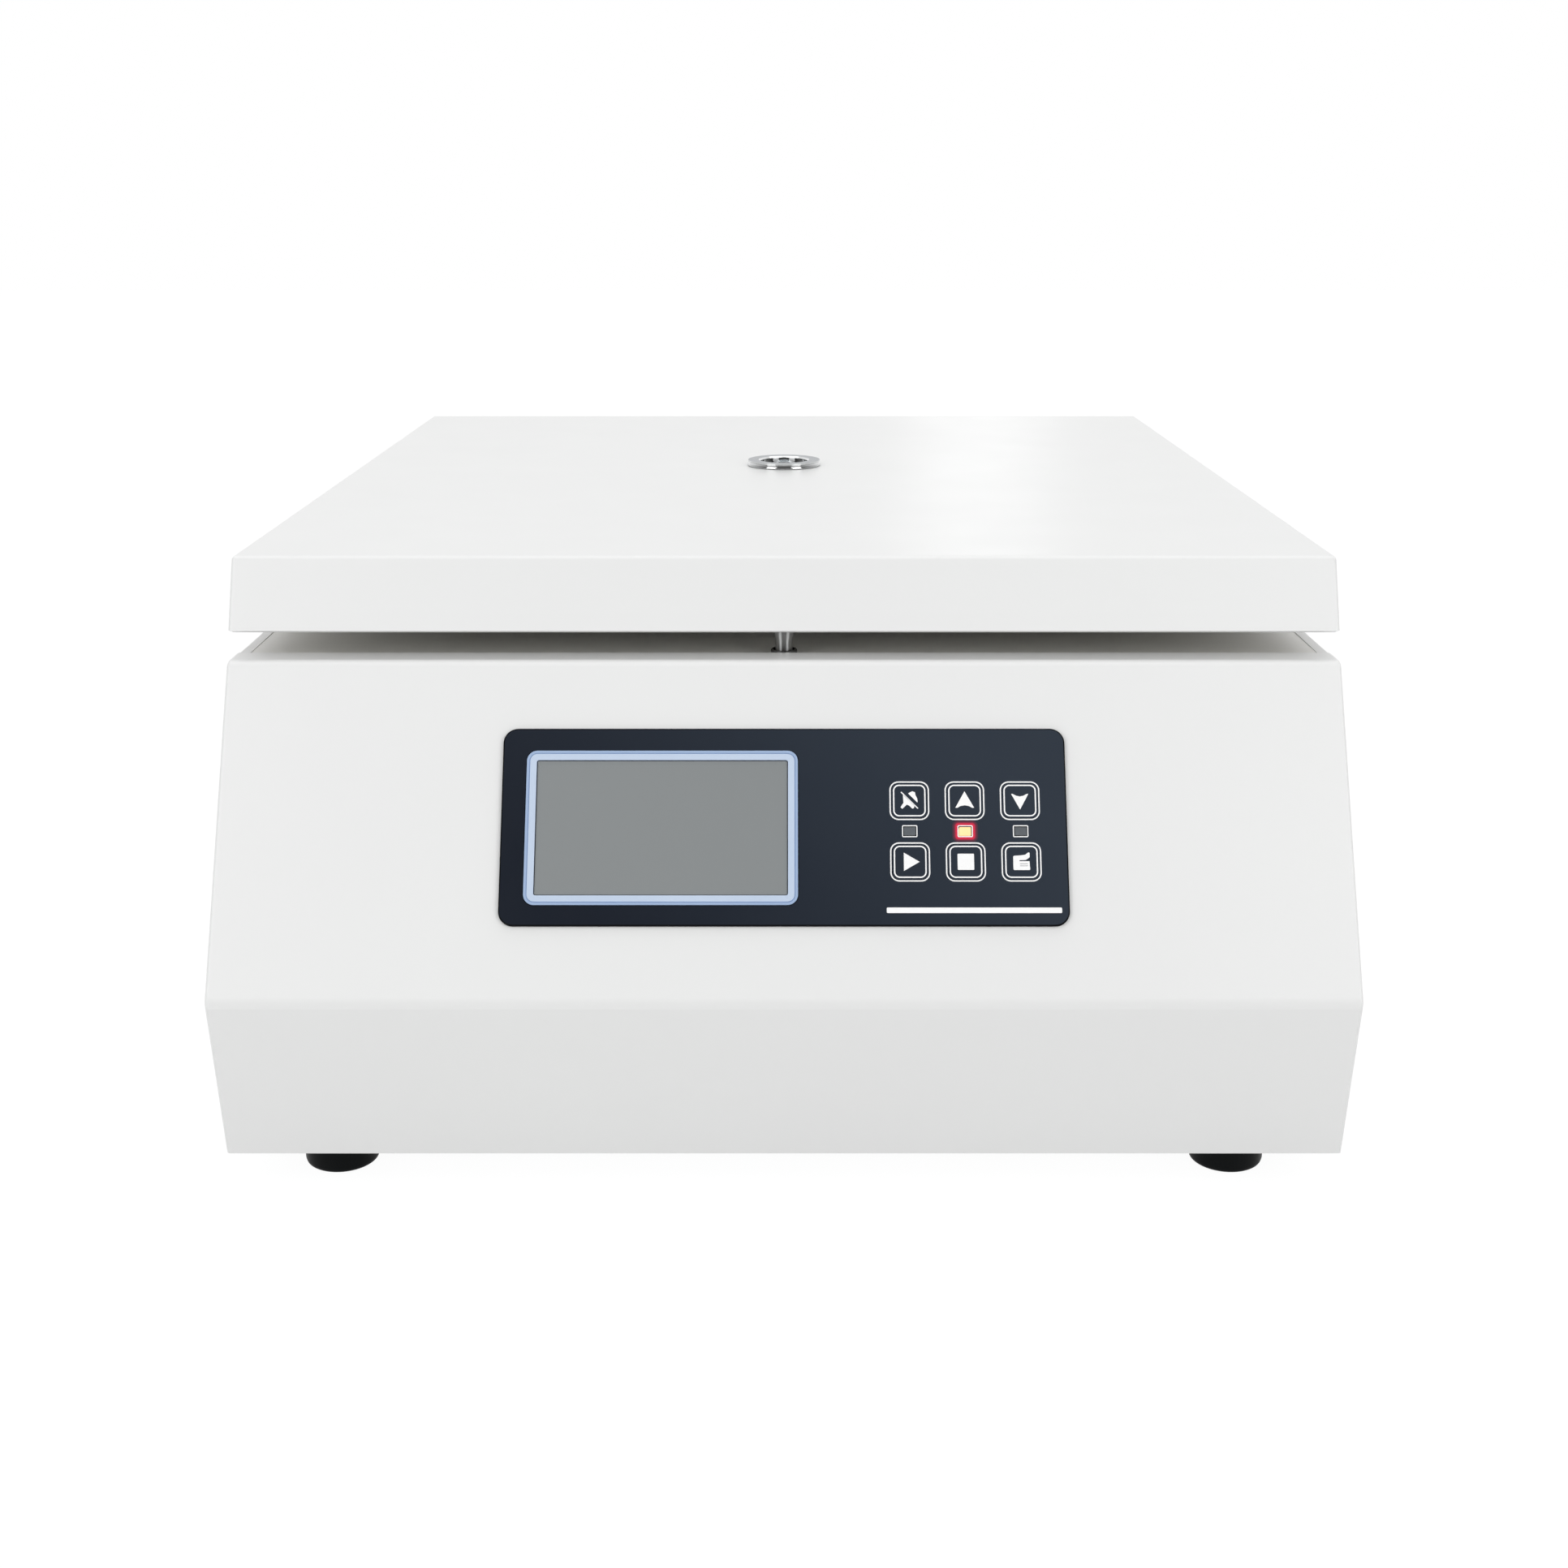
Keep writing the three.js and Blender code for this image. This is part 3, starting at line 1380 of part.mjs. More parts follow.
// Control front
addPiece(front, "panel_overlay", panelOverlay(), darkOverlay);
addPiece(front, "display_frame", displayFrame(), blueFrame);
addPiece(front, "display_screen", displayScreen(), screenGlass);
const keyNames = [
  ["key_mute", "key_start"],
  ["key_up", "key_stop"],
  ["key_down", "key_lid"],
];
keyColumns.forEach((x, column) => {
  keyRows.forEach((down, row) => {
    addPiece(front, keyNames[column][row], keyCap(x, down), keyPlastic);
  });
  addPiece(front, ["lamp_left", "lamp_middle", "lamp_right"][column], lamp(x), lampPlastic);
});
addPiece(front, "control_board", controlBoard(), circuitGreen);

// Rear fittings
const rockerPivotZ = seatGap + switchFrameThickness - rockerPivotDepth;
const inlet = addPiece(rear, "power_inlet", powerInlet(), blackPlastic);
inlet.position.set(inletX, inletHeight, 0);
const switchSurround = addPiece(rear, "switch_frame", switchFrame(), blackPlastic);
switchSurround.position.set(switchX, inletHeight, 0);
const rocker = addPiece(rear, "switch_rocker", switchRocker(), blackPlastic);
rocker.position.set(switchX, inletHeight, rockerPivotZ);

// Boards on the base plate
const tableBoardX = (width) => innerHalfWidth - seatGap - tableBoardSideGap - width / 2;
const tableBoardY = (depth) => rearInnerY - tableBoardRearGap - depth / 2;
addPiece(
  assembly,
  "power_board",
  tableBoard(
    -tableBoardX(powerBoardWidth),
    tableBoardY(powerBoardDepth),
    powerBoardWidth,
    powerBoardDepth,
    powerPartShares,
  ),
  circuitGreen,
);
addPiece(
  assembly,
  "drive_board",
  tableBoard(
    tableBoardX(driveBoardWidth),
    tableBoardY(driveBoardDepth),
    driveBoardWidth,
    driveBoardDepth,
    drivePartShares,
  ),
  circuitGreen,
);

export default root;
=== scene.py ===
"""Bench centrifuge: white sheet-metal housing with a sloped control front, a box lid with a sight
port, a steel chamber with an angle rotor, and the pieces that carry, drive and lock them."""
import json
import math
import bmesh
import bpy
from mathutils import Matrix, Vector


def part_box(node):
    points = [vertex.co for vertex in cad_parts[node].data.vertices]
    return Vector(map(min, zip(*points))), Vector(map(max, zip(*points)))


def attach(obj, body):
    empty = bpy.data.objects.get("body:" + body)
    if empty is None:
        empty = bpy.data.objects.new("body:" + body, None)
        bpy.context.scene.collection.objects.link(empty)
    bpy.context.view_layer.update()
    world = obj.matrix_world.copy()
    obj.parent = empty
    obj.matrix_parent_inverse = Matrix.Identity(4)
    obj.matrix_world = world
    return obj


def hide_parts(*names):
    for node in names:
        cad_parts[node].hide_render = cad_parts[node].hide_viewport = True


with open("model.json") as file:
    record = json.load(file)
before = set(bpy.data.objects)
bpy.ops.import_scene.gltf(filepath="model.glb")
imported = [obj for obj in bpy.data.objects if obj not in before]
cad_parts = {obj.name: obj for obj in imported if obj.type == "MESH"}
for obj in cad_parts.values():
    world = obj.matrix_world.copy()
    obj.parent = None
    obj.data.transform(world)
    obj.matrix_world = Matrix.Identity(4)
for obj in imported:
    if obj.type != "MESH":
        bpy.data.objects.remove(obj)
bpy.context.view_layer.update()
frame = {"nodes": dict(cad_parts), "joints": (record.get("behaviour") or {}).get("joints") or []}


# The photograph's view. The camera stands in front of the housing's middle and looks down a
# little: its lens, place and pitch come from the housing's straight edges.
mm = 0.001
image_side = 1932
focal_length_in_pixels = 2500
camera_back = 979.75 * mm
camera_height = 378.1 * mm
camera_pitch = math.radians(16.775)
scene = bpy.context.scene
scene.view_settings.view_transform = "Standard"
bpy.ops.object.camera_add(
    location=(0, -camera_back, camera_height),
    rotation=(math.pi / 2 - camera_pitch, 0, 0),
)
camera = bpy.context.object
camera.name = "photo_camera"
camera.data.lens = camera.data.sensor_width * focal_length_in_pixels / image_side
scene.camera = camera


# The studio's lights: a wide box overhead, two tall boxes left and right of the camera, which draw
# the pair of bright lines on the turned metal, and a small lamp far behind, which the lid's gloss
# mirrors.
def light_box(name, place, aim, size, power):
    bpy.ops.object.light_add(type="AREA", location=place)
    light = bpy.context.object
    light.name = name
    light.data.shape = "RECTANGLE"
    light.data.size, light.data.size_y = size
    light.data.energy = power
    light.visible_camera = False
    light.rotation_euler = (Vector(aim) - Vector(place)).to_track_quat("-Z", "Y").to_euler()
    return light


light_box("overhead_box", place=(0, 0.5, 2.0), aim=(0, 0.1, 0.2), size=(2.4, 1.4), power=10)
light_box("left_box", place=(-1.35, -1.45, 0.85), aim=(0, -0.15, 0.2), size=(1.1, 1.9), power=12)
light_box("right_box", place=(1.35, -1.45, 0.85), aim=(0, -0.15, 0.2), size=(1.1, 1.9), power=12)
far_lamp = light_box("far_lamp", place=(0.38, 3.0, 0.76), aim=(0, 0, 0.2), size=(0.3, 0.2), power=0.26)
far_lamp.data.shape = "ELLIPSE"


# The room: plain white behind the object, also in what metal and glass show of it, a paler ceiling,
# a dark studio on the camera's side, and an even pale glow on everything else.
class Wire:
    """A socket of a finish. Python's operators on it lay Math nodes."""

    def __init__(self, finish, socket):
        self.finish = finish
        self.socket = socket

    def maths(self, operation, *values):
        return self.finish.node("ShaderNodeMath", {"operation": operation}, dict(enumerate(values)))

    def __add__(self, other):
        return self.maths("ADD", self, other)

    def __sub__(self, other):
        return self.maths("SUBTRACT", self, other)

    def __rsub__(self, other):
        return self.maths("SUBTRACT", other, self)

    def __mul__(self, other):
        return self.maths("MULTIPLY", self, other)

    def __truediv__(self, other):
        return self.maths("DIVIDE", self, other)

    def __abs__(self):
        return self.maths("ABSOLUTE", self)

    def over(self, limit):
        """How much the value is over a limit, and otherwise 0."""
        return self.maths("MAXIMUM", self - limit, 0)

    def root(self):
        return self.maths("SQRT", self)

    __radd__ = __add__
    __rmul__ = __mul__


def tone(code, alpha=1.0):
    """A six-figure screen colour as the linear colour that a shader takes."""
    shares = [int(code[i : i + 2], 16) / 255 for i in (0, 2, 4)]
    linear = [s / 12.92 if s <= 0.04045 else ((s + 0.055) / 1.055) ** 2.4 for s in shares]
    return (*linear, alpha)


class Finish:
    """A material in the making: its nodes and its shader. Constants go straight to the shader."""

    def __init__(self, owner, constants=None):
        owner.use_nodes = True
        self.owner = owner
        self.tree = owner.node_tree
        self.shader = next((n for n in self.tree.nodes if n.type == "BSDF_PRINCIPLED"), None)
        for name, value in (constants or {}).items():
            self.shader.inputs[name].default_value = value

    def feed(self, socket, value):
        if isinstance(value, Wire):
            self.tree.links.new(value.socket, socket)
        else:
            socket.default_value = value

    def node(self, kind, settings=None, values=None, output=0):
        made = self.tree.nodes.new(kind)
        for name, value in (settings or {}).items():
            if name == "stops":
                self.set_stops(made.color_ramp, value)
            else:
                setattr(made, name, value)
        for name, value in (values or {}).items():
            self.feed(made.inputs[name], value)
        return Wire(self, made.outputs[output])

    @staticmethod
    def set_stops(ramp, stops):
        while len(ramp.elements) < len(stops):
            ramp.elements.new(1)
        for element, (place, colour) in zip(ramp.elements, stops):
            element.position = place
            element.color = colour

    def place(self):
        """The object coordinates, in metres."""
        return self.node("ShaderNodeTexCoord", output="Object")

    def along(self, direction, start=(0, 0, 0)):
        """How far a point lies along a direction, in metres from a start."""
        settings = {"operation": "DOT_PRODUCT"}
        values = {0: self.place(), 1: tuple(direction)}
        product = self.node("ShaderNodeVectorMath", settings, values, output="Value")
        return product - Vector(start).dot(Vector(direction))

    def noise(self, scale, detail=2.0, stretch=(1, 1, 1)):
        """Noise from 0 to 1, its scale in waves a metre, stretched along an axis by a small share."""
        mapped = self.node("ShaderNodeMapping", values={"Vector": self.place(), "Scale": stretch})
        return self.node("ShaderNodeTexNoise", values={"Vector": mapped, "Scale": scale, "Detail": detail})

    def blend(self, share, first, second):
        """One colour turning into another as the share goes from 0 to 1."""
        settings = {"data_type": "RGBA"}
        return self.node("ShaderNodeMix", settings, {0: share, 6: first, 7: second}, output=2)

    def bump(self, height, strength, distance):
        values = {"Height": height, "Strength": strength, "Distance": distance}
        self.paint("Normal", self.node("ShaderNodeBump", values=values))

    def paint(self, socket, value):
        self.feed(self.shader.inputs[socket], value)


room = bpy.data.worlds.new("room")
scene.world = room
room_light = Finish(room)
seen_by = room_light.node("ShaderNodeLightPath").socket.node.outputs
to_camera = Wire(room_light, seen_by["Is Camera Ray"])
to_gloss = Wire(room_light, seen_by["Is Glossy Ray"])
to_glass = Wire(room_light, seen_by["Is Transmission Ray"])
mirrored_stops = [
    (0.0, (0.05, 0.05, 0.05, 1)),
    (0.45, (0.12, 0.12, 0.12, 1)),
    (0.7, (0.5, 0.5, 0.5, 1)),
    (0.9, (1.0, 1.0, 1.0, 1)),
]
back_and_up = (0, 0.8, 0.6)
towards_back = room_light.along(back_and_up) * 0.5 + 0.5
mirrored = room_light.node("ShaderNodeValToRGB", {"stops": mirrored_stops}, {0: towards_back})
glow = (0.6, 0.6, 0.6, 1)
unseen = room_light.blend(to_gloss, glow, mirrored)
backdrop = room_light.blend(to_camera + to_glass, unseen, (1, 1, 1, 1))
background = next(n for n in room_light.tree.nodes if n.type == "BACKGROUND")
room_light.feed(background.inputs["Color"], backdrop)


# The bench top: pale and matt, all but white to the camera and in the metal, with the soft shadow
# of the housing. It ends just in front of what the camera sees.
def select_only(piece):
    bpy.ops.object.select_all(action="DESELECT")
    piece.select_set(True)
    bpy.context.view_layer.objects.active = piece


def keep_place():
    """Moves the active object's place, turn and scale into its mesh."""
    bpy.ops.object.transform_apply(location=True, rotation=True, scale=True)


bench_width = 12
bench_front, bench_back = -0.62, 6
bench_brightness = 1.12
bench_glow_share = 0.85
bpy.ops.object.select_all(action="DESELECT")
bpy.ops.mesh.primitive_plane_add(size=1, location=(0, (bench_front + bench_back) / 2, 0))
bench = bpy.context.object
bench.scale = (bench_width, bench_back - bench_front, 1)
bench.name = "bench_top"
keep_place()
bench_finish = Finish(bpy.data.materials.new("bench_top"), {"Roughness": 0.9, "Specular IOR Level": 0.0})
bench_finish.paint("Base Color", bench_finish.blend(bench_finish.noise(4), tone("cccccc"), tone("d0d0d0")))
bench_path = bench_finish.node("ShaderNodeLightPath").socket.node.outputs
bench_seen = Wire(bench_finish, bench_path["Is Camera Ray"]) + Wire(bench_finish, bench_path["Is Glossy Ray"])
bench_glow_values = {"Color": (1, 1, 1, 1), "Strength": bench_brightness}
bench_glow = bench_finish.node("ShaderNodeEmission", values=bench_glow_values)
bench_shader = Wire(bench_finish, bench_finish.shader.outputs[0])
bench_values = {0: bench_seen * bench_glow_share, 1: bench_shader, 2: bench_glow}
bench_mix = bench_finish.node("ShaderNodeMixShader", values=bench_values)
bench_output = next(n for n in bench_finish.tree.nodes if n.type == "OUTPUT_MATERIAL")
bench_finish.feed(bench_output.inputs["Surface"], bench_mix)
bench.data.materials.append(bench_finish.owner)


# Housing: front, sides and top flange bent from one steel sheet, welded at the corners and powder
# coated white. The front folds under at mid height and has an opening behind the control panel.
def block(name, low, high):
    """A cuboid between two corners."""
    low, high = Vector(low), Vector(high)
    bpy.ops.object.select_all(action="DESELECT")
    bpy.ops.mesh.primitive_cube_add(size=1, location=(low + high) / 2)
    piece = bpy.context.object
    piece.scale = high - low
    piece.name = name
    piece.data.name = name
    keep_place()
    return piece


def edit(piece):
    select_only(piece)
    bpy.ops.object.mode_set(mode="EDIT")
    bpy.ops.mesh.select_mode(type="VERT")
    bpy.ops.mesh.select_all(action="SELECT")


def done():
    bpy.ops.object.mode_set(mode="OBJECT")


def pick(kind, wanted):
    """Selects, in edit mode, what passes a test on its corners and its normal."""
    bpy.ops.mesh.select_mode(type=kind)
    bpy.ops.mesh.select_all(action="DESELECT")
    mesh = bpy.context.object.data
    shape = bmesh.from_edit_mesh(mesh)
    shape.normal_update()
    parts = {"VERT": shape.verts, "EDGE": shape.edges, "FACE": shape.faces}[kind]
    for part in parts:
        corners = [part.co] if kind == "VERT" else [v.co for v in part.verts]
        if wanted(corners, part.normal if kind == "FACE" else None):
            part.select_set(True)
    bmesh.update_edit_mesh(mesh)


def near(value, target, slack=0.05 * mm):
    return abs(value - target) < slack


def modify(piece, kind, **settings):
    """Adds a modifier and applies it."""
    select_only(piece)
    modifier = piece.modifiers.new(kind.lower(), kind)
    for name, value in settings.items():
        setattr(modifier, name, value)
    bpy.ops.object.modifier_apply(modifier=modifier.name)


def shade(piece, angle=40):
    select_only(piece)
    bpy.ops.object.shade_smooth_by_angle(angle=math.radians(angle))
    modify(piece, "WEIGHTED_NORMAL", keep_sharp=True)


def soften(piece, width, segments=2, angle=50):
    """Rounds the edges sharper than an angle, and shades the piece smooth between its flats."""
    limit = math.radians(angle)
    modify(piece, "BEVEL", width=width, segments=segments, limit_method="ANGLE", angle_limit=limit)
    shade(piece)


def cut_out(piece, *cutters):
    for cutter in cutters:
        modify(piece, "BOOLEAN", operation="DIFFERENCE", object=cutter, solver="EXACT")
        bpy.data.objects.remove(cutter)


def fit(piece, finish, body, slot, *nodes):
    """Gives a finished piece its material and its body, and hides the CAD nodes it stands for. The slot is
    not used.
    """
    piece.data.materials.clear()
    piece.data.materials.append(finish)
    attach(piece, body)
    if nodes:
        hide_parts(*nodes)


sheet = 2 * mm
case_low, case_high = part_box("housing_shell")
case_depth = 559 * mm
lower_rise = 67 * mm
lower_lean = 12.2 * mm
front_lean = 66.8 * mm
rim_depth = 14.2 * mm
fold_bend = 2.5 * mm
side_bend = 1.6 * mm
cut_edge = 0.3 * mm
fold_y = case_high.y - case_depth
fold_z = case_low.z + lower_rise
rim_y = fold_y + front_lean
rim_z = case_high.z


def surface(name, tones, cloud, haze, roughness, grain=None, constants=None):
    """A material whose colour drifts between two tones over a cloud (scale, detail) of noise. Its
    roughness varies with a haze (scale, detail, spread). A grain is (scale, strength, depth in mm)."""
    made = Finish(bpy.data.materials.new(name), constants)
    made.paint("Base Color", made.blend(made.noise(*cloud), tone(tones[0]), tone(tones[1])))
    scale, detail, spread = haze
    made.paint("Roughness", made.noise(scale, detail) * spread + roughness)
    if grain:
        scale, strength, depth = grain
        made.bump(made.noise(scale), strength, depth * mm)
    return made


white_coat = surface("white_paint", ("edeeed", "ebebeb"), (7, 3), (30, 2, 0.1), 0.26, (700, 0.1, 0.1))
white_paint = white_coat.owner

housing = block("housing_wrap", (case_low.x, fold_y, case_low.z), case_high)
edit(housing)
bpy.ops.mesh.bisect(plane_co=(0, 0, fold_z), plane_no=(0, 0, 1))
pick("VERT", lambda corners, _: near(corners[0].z, rim_z) and near(corners[0].y, fold_y))
bpy.ops.transform.translate(value=(0, front_lean, 0))
pick("VERT", lambda corners, _: near(corners[0].z, case_low.z) and near(corners[0].y, fold_y))
bpy.ops.transform.translate(value=(0, lower_lean, 0))
bpy.ops.mesh.select_all(action="SELECT")
bpy.ops.mesh.bisect(plane_co=(0, rim_y + rim_depth, 0), plane_no=(0, 1, 0))
pick(
    "FACE",
    lambda corners, normal: normal.z < -0.9
    or normal.y > 0.9
    or (normal.z > 0.9 and max(c.y for c in corners) > rim_y + rim_depth + mm),
)
bpy.ops.mesh.delete(type="FACE")
for bend_y, bend_z in ((fold_y, fold_z), (rim_y, rim_z)):
    pick("EDGE", lambda corners, _: all(near(c.z, bend_z) and near(c.y, bend_y) for c in corners))
    bpy.ops.mesh.bevel(offset=fold_bend, segments=6)
bpy.ops.mesh.select_all(action="DESELECT")
bpy.ops.mesh.edges_select_sharp(sharpness=math.radians(30))
bpy.ops.mesh.bevel(offset=side_bend, segments=4)
pick("VERT", lambda corners, _: near(corners[0].z, rim_z) and near(abs(corners[0].x), case_high.x))
bpy.ops.transform.translate(value=(0, 0, -side_bend))
done()
modify(housing, "SOLIDIFY", thickness=sheet, offset=-1, use_even_offset=True)

key_travel = Vector(next(j for j in frame["joints"] if j["name"] == "key_up_press")["axis"])
panel_out = -key_travel.normalized()
panel_up = Vector((0, panel_out.z, -panel_out.y))
overlay_low, overlay_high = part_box("panel_overlay")
overlay_size = Vector((213.8, 76.3))
overlay_sheet = 1.2
panel_place = Matrix((Vector((1, 0, 0)), panel_up, panel_out)).transposed().to_4x4()
panel_place.translation = (overlay_low + overlay_high) / 2 + panel_out * overlay_sheet * mm / 2


def on_panel(piece):
    """Puts a piece that was made flat, about the control panel's middle, on the sloped front."""
    select_only(piece)
    piece.matrix_world = panel_place
    keep_place()


overlay_seat = 7
hole_half = Vector((overlay_size.x / 2 - overlay_seat, overlay_size.y / 2 - overlay_seat, 10)) * mm
hole_cutter = block("hole_cutter", -hole_half, hole_half)
on_panel(hole_cutter)
cut_out(housing, hole_cutter)
soften(housing, cut_edge, angle=60)
fit(housing, white_paint, "housing", "white_paint", "housing_shell")


# Lid: a shallow box folded from the same sheet, its front edge leaning back, open below, with a
# round hole for the sight port.
def disc(name, centre, radius, low, high, sides=48):
    """A round bar along Z."""
    bpy.ops.object.select_all(action="DESELECT")
    place = (centre[0], centre[1], (low + high) / 2)
    bpy.ops.mesh.primitive_cylinder_add(vertices=sides, radius=radius, depth=high - low, location=place)
    piece = bpy.context.object
    piece.name = name
    piece.data.name = name
    keep_place()
    return piece


lid_low, lid_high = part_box("lid_shell")
port_low, port_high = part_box("sight_port_ring")
port_axis = ((port_low + port_high) / 2).xy
lid_front_y = rim_y + 4.9 * mm
lid_lean = 13.2 * mm
port_hole_radius = 15.4 * mm
lid = block("lid_box", (lid_low.x, lid_front_y, lid_low.z), lid_high)
edit(lid)
pick("VERT", lambda corners, _: near(corners[0].z, lid_high.z) and near(corners[0].y, lid_front_y))
bpy.ops.transform.translate(value=(0, lid_lean, 0))
pick("FACE", lambda corners, normal: normal.z < -0.9)
bpy.ops.mesh.delete(type="FACE")
bpy.ops.mesh.select_all(action="DESELECT")
bpy.ops.mesh.edges_select_sharp(sharpness=math.radians(30))
bpy.ops.mesh.bevel(offset=side_bend, segments=4)
done()
modify(lid, "SOLIDIFY", thickness=sheet, offset=-1, use_even_offset=True)
cut_out(lid, disc("port_cutter", port_axis, port_hole_radius, lid_high.z - 2 * sheet, lid_high.z + sheet))
soften(lid, cut_edge, angle=60)
fit(lid, white_paint, "lid", "white_paint", "lid_shell")


# Sight port: a turned ring with a satin flat top and polished sides, let into the lid, round a
# clear stepped window through which the rotor's speed can be checked.
def draw(name, points, closed=False):
    """Draws a line of points, one edge after another, and fills it if it is closed."""
    bpy.ops.object.select_all(action="DESELECT")
    bpy.ops.mesh.primitive_plane_add(size=mm)
    piece = bpy.context.object
    piece.name = name
    piece.data.name = name
    edit(piece)
    bpy.ops.mesh.merge(type="CENTER")
    here = Vector(points[0])
    bpy.ops.transform.translate(value=here)
    for point in points[1:]:
        step = Vector(point) - here
        bpy.ops.mesh.extrude_vertices_move(TRANSFORM_OT_translate={"value": step})
        here = Vector(point)
    if closed:
        bpy.ops.mesh.select_all(action="SELECT")
        bpy.ops.mesh.edge_face_add()
    return piece


def turn(name, profile, centre, steps=64, edge=0.0):
    """Turns a profile of (radius, height) points in mm round an upright axis, and eases its edges."""
    axis = Vector((centre[0], centre[1], 0))
    piece = draw(name, [axis + Vector((radius * mm, 0, height * mm)) for radius, height in profile])
    bpy.ops.mesh.select_all(action="SELECT")
    bpy.ops.mesh.spin(steps=steps, angle=math.tau, center=axis, axis=(0, 0, 1))
    bpy.ops.mesh.select_all(action="SELECT")
    bpy.ops.mesh.remove_doubles(threshold=0.001 * mm)
    bpy.ops.mesh.normals_make_consistent(inside=False)
    done()
    if edge:
        soften(piece, edge * mm, 3, angle=30)
    else:
        shade(piece)
    return piece


def metal(name, colour, pale, roughness, mark_scale, marks, turned=0.0):
    """Bare metal with a haze of handling and fine tool marks, drawn out along the axis if turned."""
    quarter_turn = 0.25
    constants = {"Metallic": 1.0, "Anisotropic": turned, "Anisotropic Rotation": quarter_turn}
    grain = (mark_scale, marks, 0.05)
    return surface(name, (colour, pale), (60, 2), (220, 3, 0.06), roughness, grain, constants).owner


polished_steel = metal("polished_steel", "d9dbdc", "e6e7e7", 0.03, 300, 0.02)
satin_steel = metal("satin_steel", "a0a3a6", "a9acaf", 0.34, 900, 0.1)
turned_steel = metal("turned_steel", "c4c5c5", "cecfcf", 0.27, 300, 0.02, turned=1.0)
black_chrome = metal("black_chrome", "7c7d7d", "888989", 0.05, 300, 0.02)


def trim(piece, finish, wanted):
    """Gives the faces that pass a test a second material."""
    piece.data.materials.append(finish)
    for face in piece.data.polygons:
        if wanted(face):
            face.material_index = 1


lid_top = lid_high.z / mm
port_bottom, port_top = port_low.z / mm, port_high.z / mm
port_seat = lid_top + 0.3
ring_radius = 18.5
ring_waist_radius = 17.9
ring_lip_radius = 12.8
ring_hole_radius = 12.0
ring_barrel_radius = 15.2
ring_shoulder = port_top - 0.8
window_ledge = lid_top - 4.0
window_seat_radius = 13.2
ring = turn(
    "port_ring",
    [
        (ring_barrel_radius, port_bottom),
        (ring_barrel_radius, port_seat),
        (ring_radius, port_seat),
        (ring_radius, port_seat + 0.4),
        (ring_radius - 0.15, port_seat + 1.0),
        (ring_waist_radius, ring_shoulder - 0.15),
        (ring_waist_radius, ring_shoulder),
        (ring_waist_radius + 0.35, ring_shoulder + 0.2),
        (ring_waist_radius + 0.35, port_top),
        (ring_lip_radius, port_top),
        (ring_hole_radius, port_top - 0.8),
        (ring_hole_radius, window_ledge),
        (window_seat_radius, window_ledge),
        (window_seat_radius, port_bottom),
        (ring_barrel_radius, port_bottom),
    ],
    port_axis,
    steps=96,
    edge=0.15,
)
fit(ring, polished_steel, "lid", "polished_steel", "sight_port_ring")
trim(ring, satin_steel, lambda face: face.normal.z > 0.97 and face.center.z > port_high.z - 0.1 * mm)

clear = {"Transmission Weight": 1.0, "IOR": 1.49, "Coat Weight": 0.2, "Coat Roughness": 0.03}
glass = surface("clear_glass", ("c9ced2", "bcc3c8"), (90, 2), (300, 2, 0.05), 0.02, constants=clear)
window_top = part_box("sight_port_window")[1].z / mm
window_radius = 12.9
window_neck_radius = 11.7
window_face = window_ledge - 0.3
window_thickness = 4.5
window = turn(
    "port_window",
    [
        (0, window_face - window_thickness),
        (window_radius, window_face - window_thickness),
        (window_radius, window_face),
        (window_neck_radius, window_face),
        (window_neck_radius, window_top - 1.1),
        (window_neck_radius * 0.8, window_top - 0.5),
        (window_neck_radius * 0.45, window_top - 0.1),
        (0, window_top),
    ],
    port_axis,
    edge=0.2,
)
fit(window, glass.owner, "lid", "clear_glass", "sight_port_window")


# Striker pin and lock collar: the pin hangs from the lid's liner and drops through a flanged
# collar in the deck, where the lock's bolt holds it by its neck. The pin is turned steel, with the
# tool's fine marks round it, and the collar is black chromed.
pin_low, pin_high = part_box("striker_pin")
pin_axis = ((pin_low + pin_high) / 2).xy
pin_radius = 3.4
pin_neck_radius = 1.5
pin_sleeve_radius = 3.95
pin_head_radius = 8
pin_head_height = 3
pin_tip = pin_low.z / mm
pin_neck = pin_tip + 4.0
pin_stem = pin_neck + 4.4
pin_head = pin_high.z / mm - pin_head_height
pin_sleeve = pin_head - 9.2
striker = turn(
    "striker",
    [
        (0, pin_tip),
        (1.9, pin_tip),
        (pin_radius, pin_tip + 2.0),
        (pin_radius, pin_neck),
        (pin_neck_radius, pin_neck),
        (pin_neck_radius, pin_stem),
        (pin_radius, pin_stem),
        (pin_radius, pin_sleeve - 0.3),
        (pin_sleeve_radius, pin_sleeve + 0.7),
        (pin_sleeve_radius, pin_head),
        (pin_head_radius, pin_head),
        (pin_head_radius, pin_head + pin_head_height),
        (0, pin_head + pin_head_height),
    ],
    pin_axis,
    steps=48,
    edge=0.15,
)
fit(striker, turned_steel, "lid", "polished_steel", "striker_pin")

collar_low, collar_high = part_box("lock_collar")
collar_bottom, collar_top = collar_low.z / mm, collar_high.z / mm
collar_bore_radius = 4.2
collar_neck_radius = 4.9
collar_radius = 5.25
collar_seat = collar_top - 2.0
collar = turn(
    "pin_collar",
    [
        (collar_bore_radius, collar_bottom),
        (collar_neck_radius, collar_bottom),
        (collar_neck_radius, collar_seat),
        (collar_radius, collar_seat),
        (collar_radius, collar_top - 0.7),
        (collar_neck_radius, collar_top - 0.15),
        (collar_bore_radius + 0.3, collar_top),
        (collar_bore_radius, collar_top - 0.3),
        (collar_bore_radius, collar_bottom),
    ],
    pin_axis,
    steps=48,
    edge=0.1,
)
fit(collar, black_chrome, "housing", "polished_steel", "lock_collar")


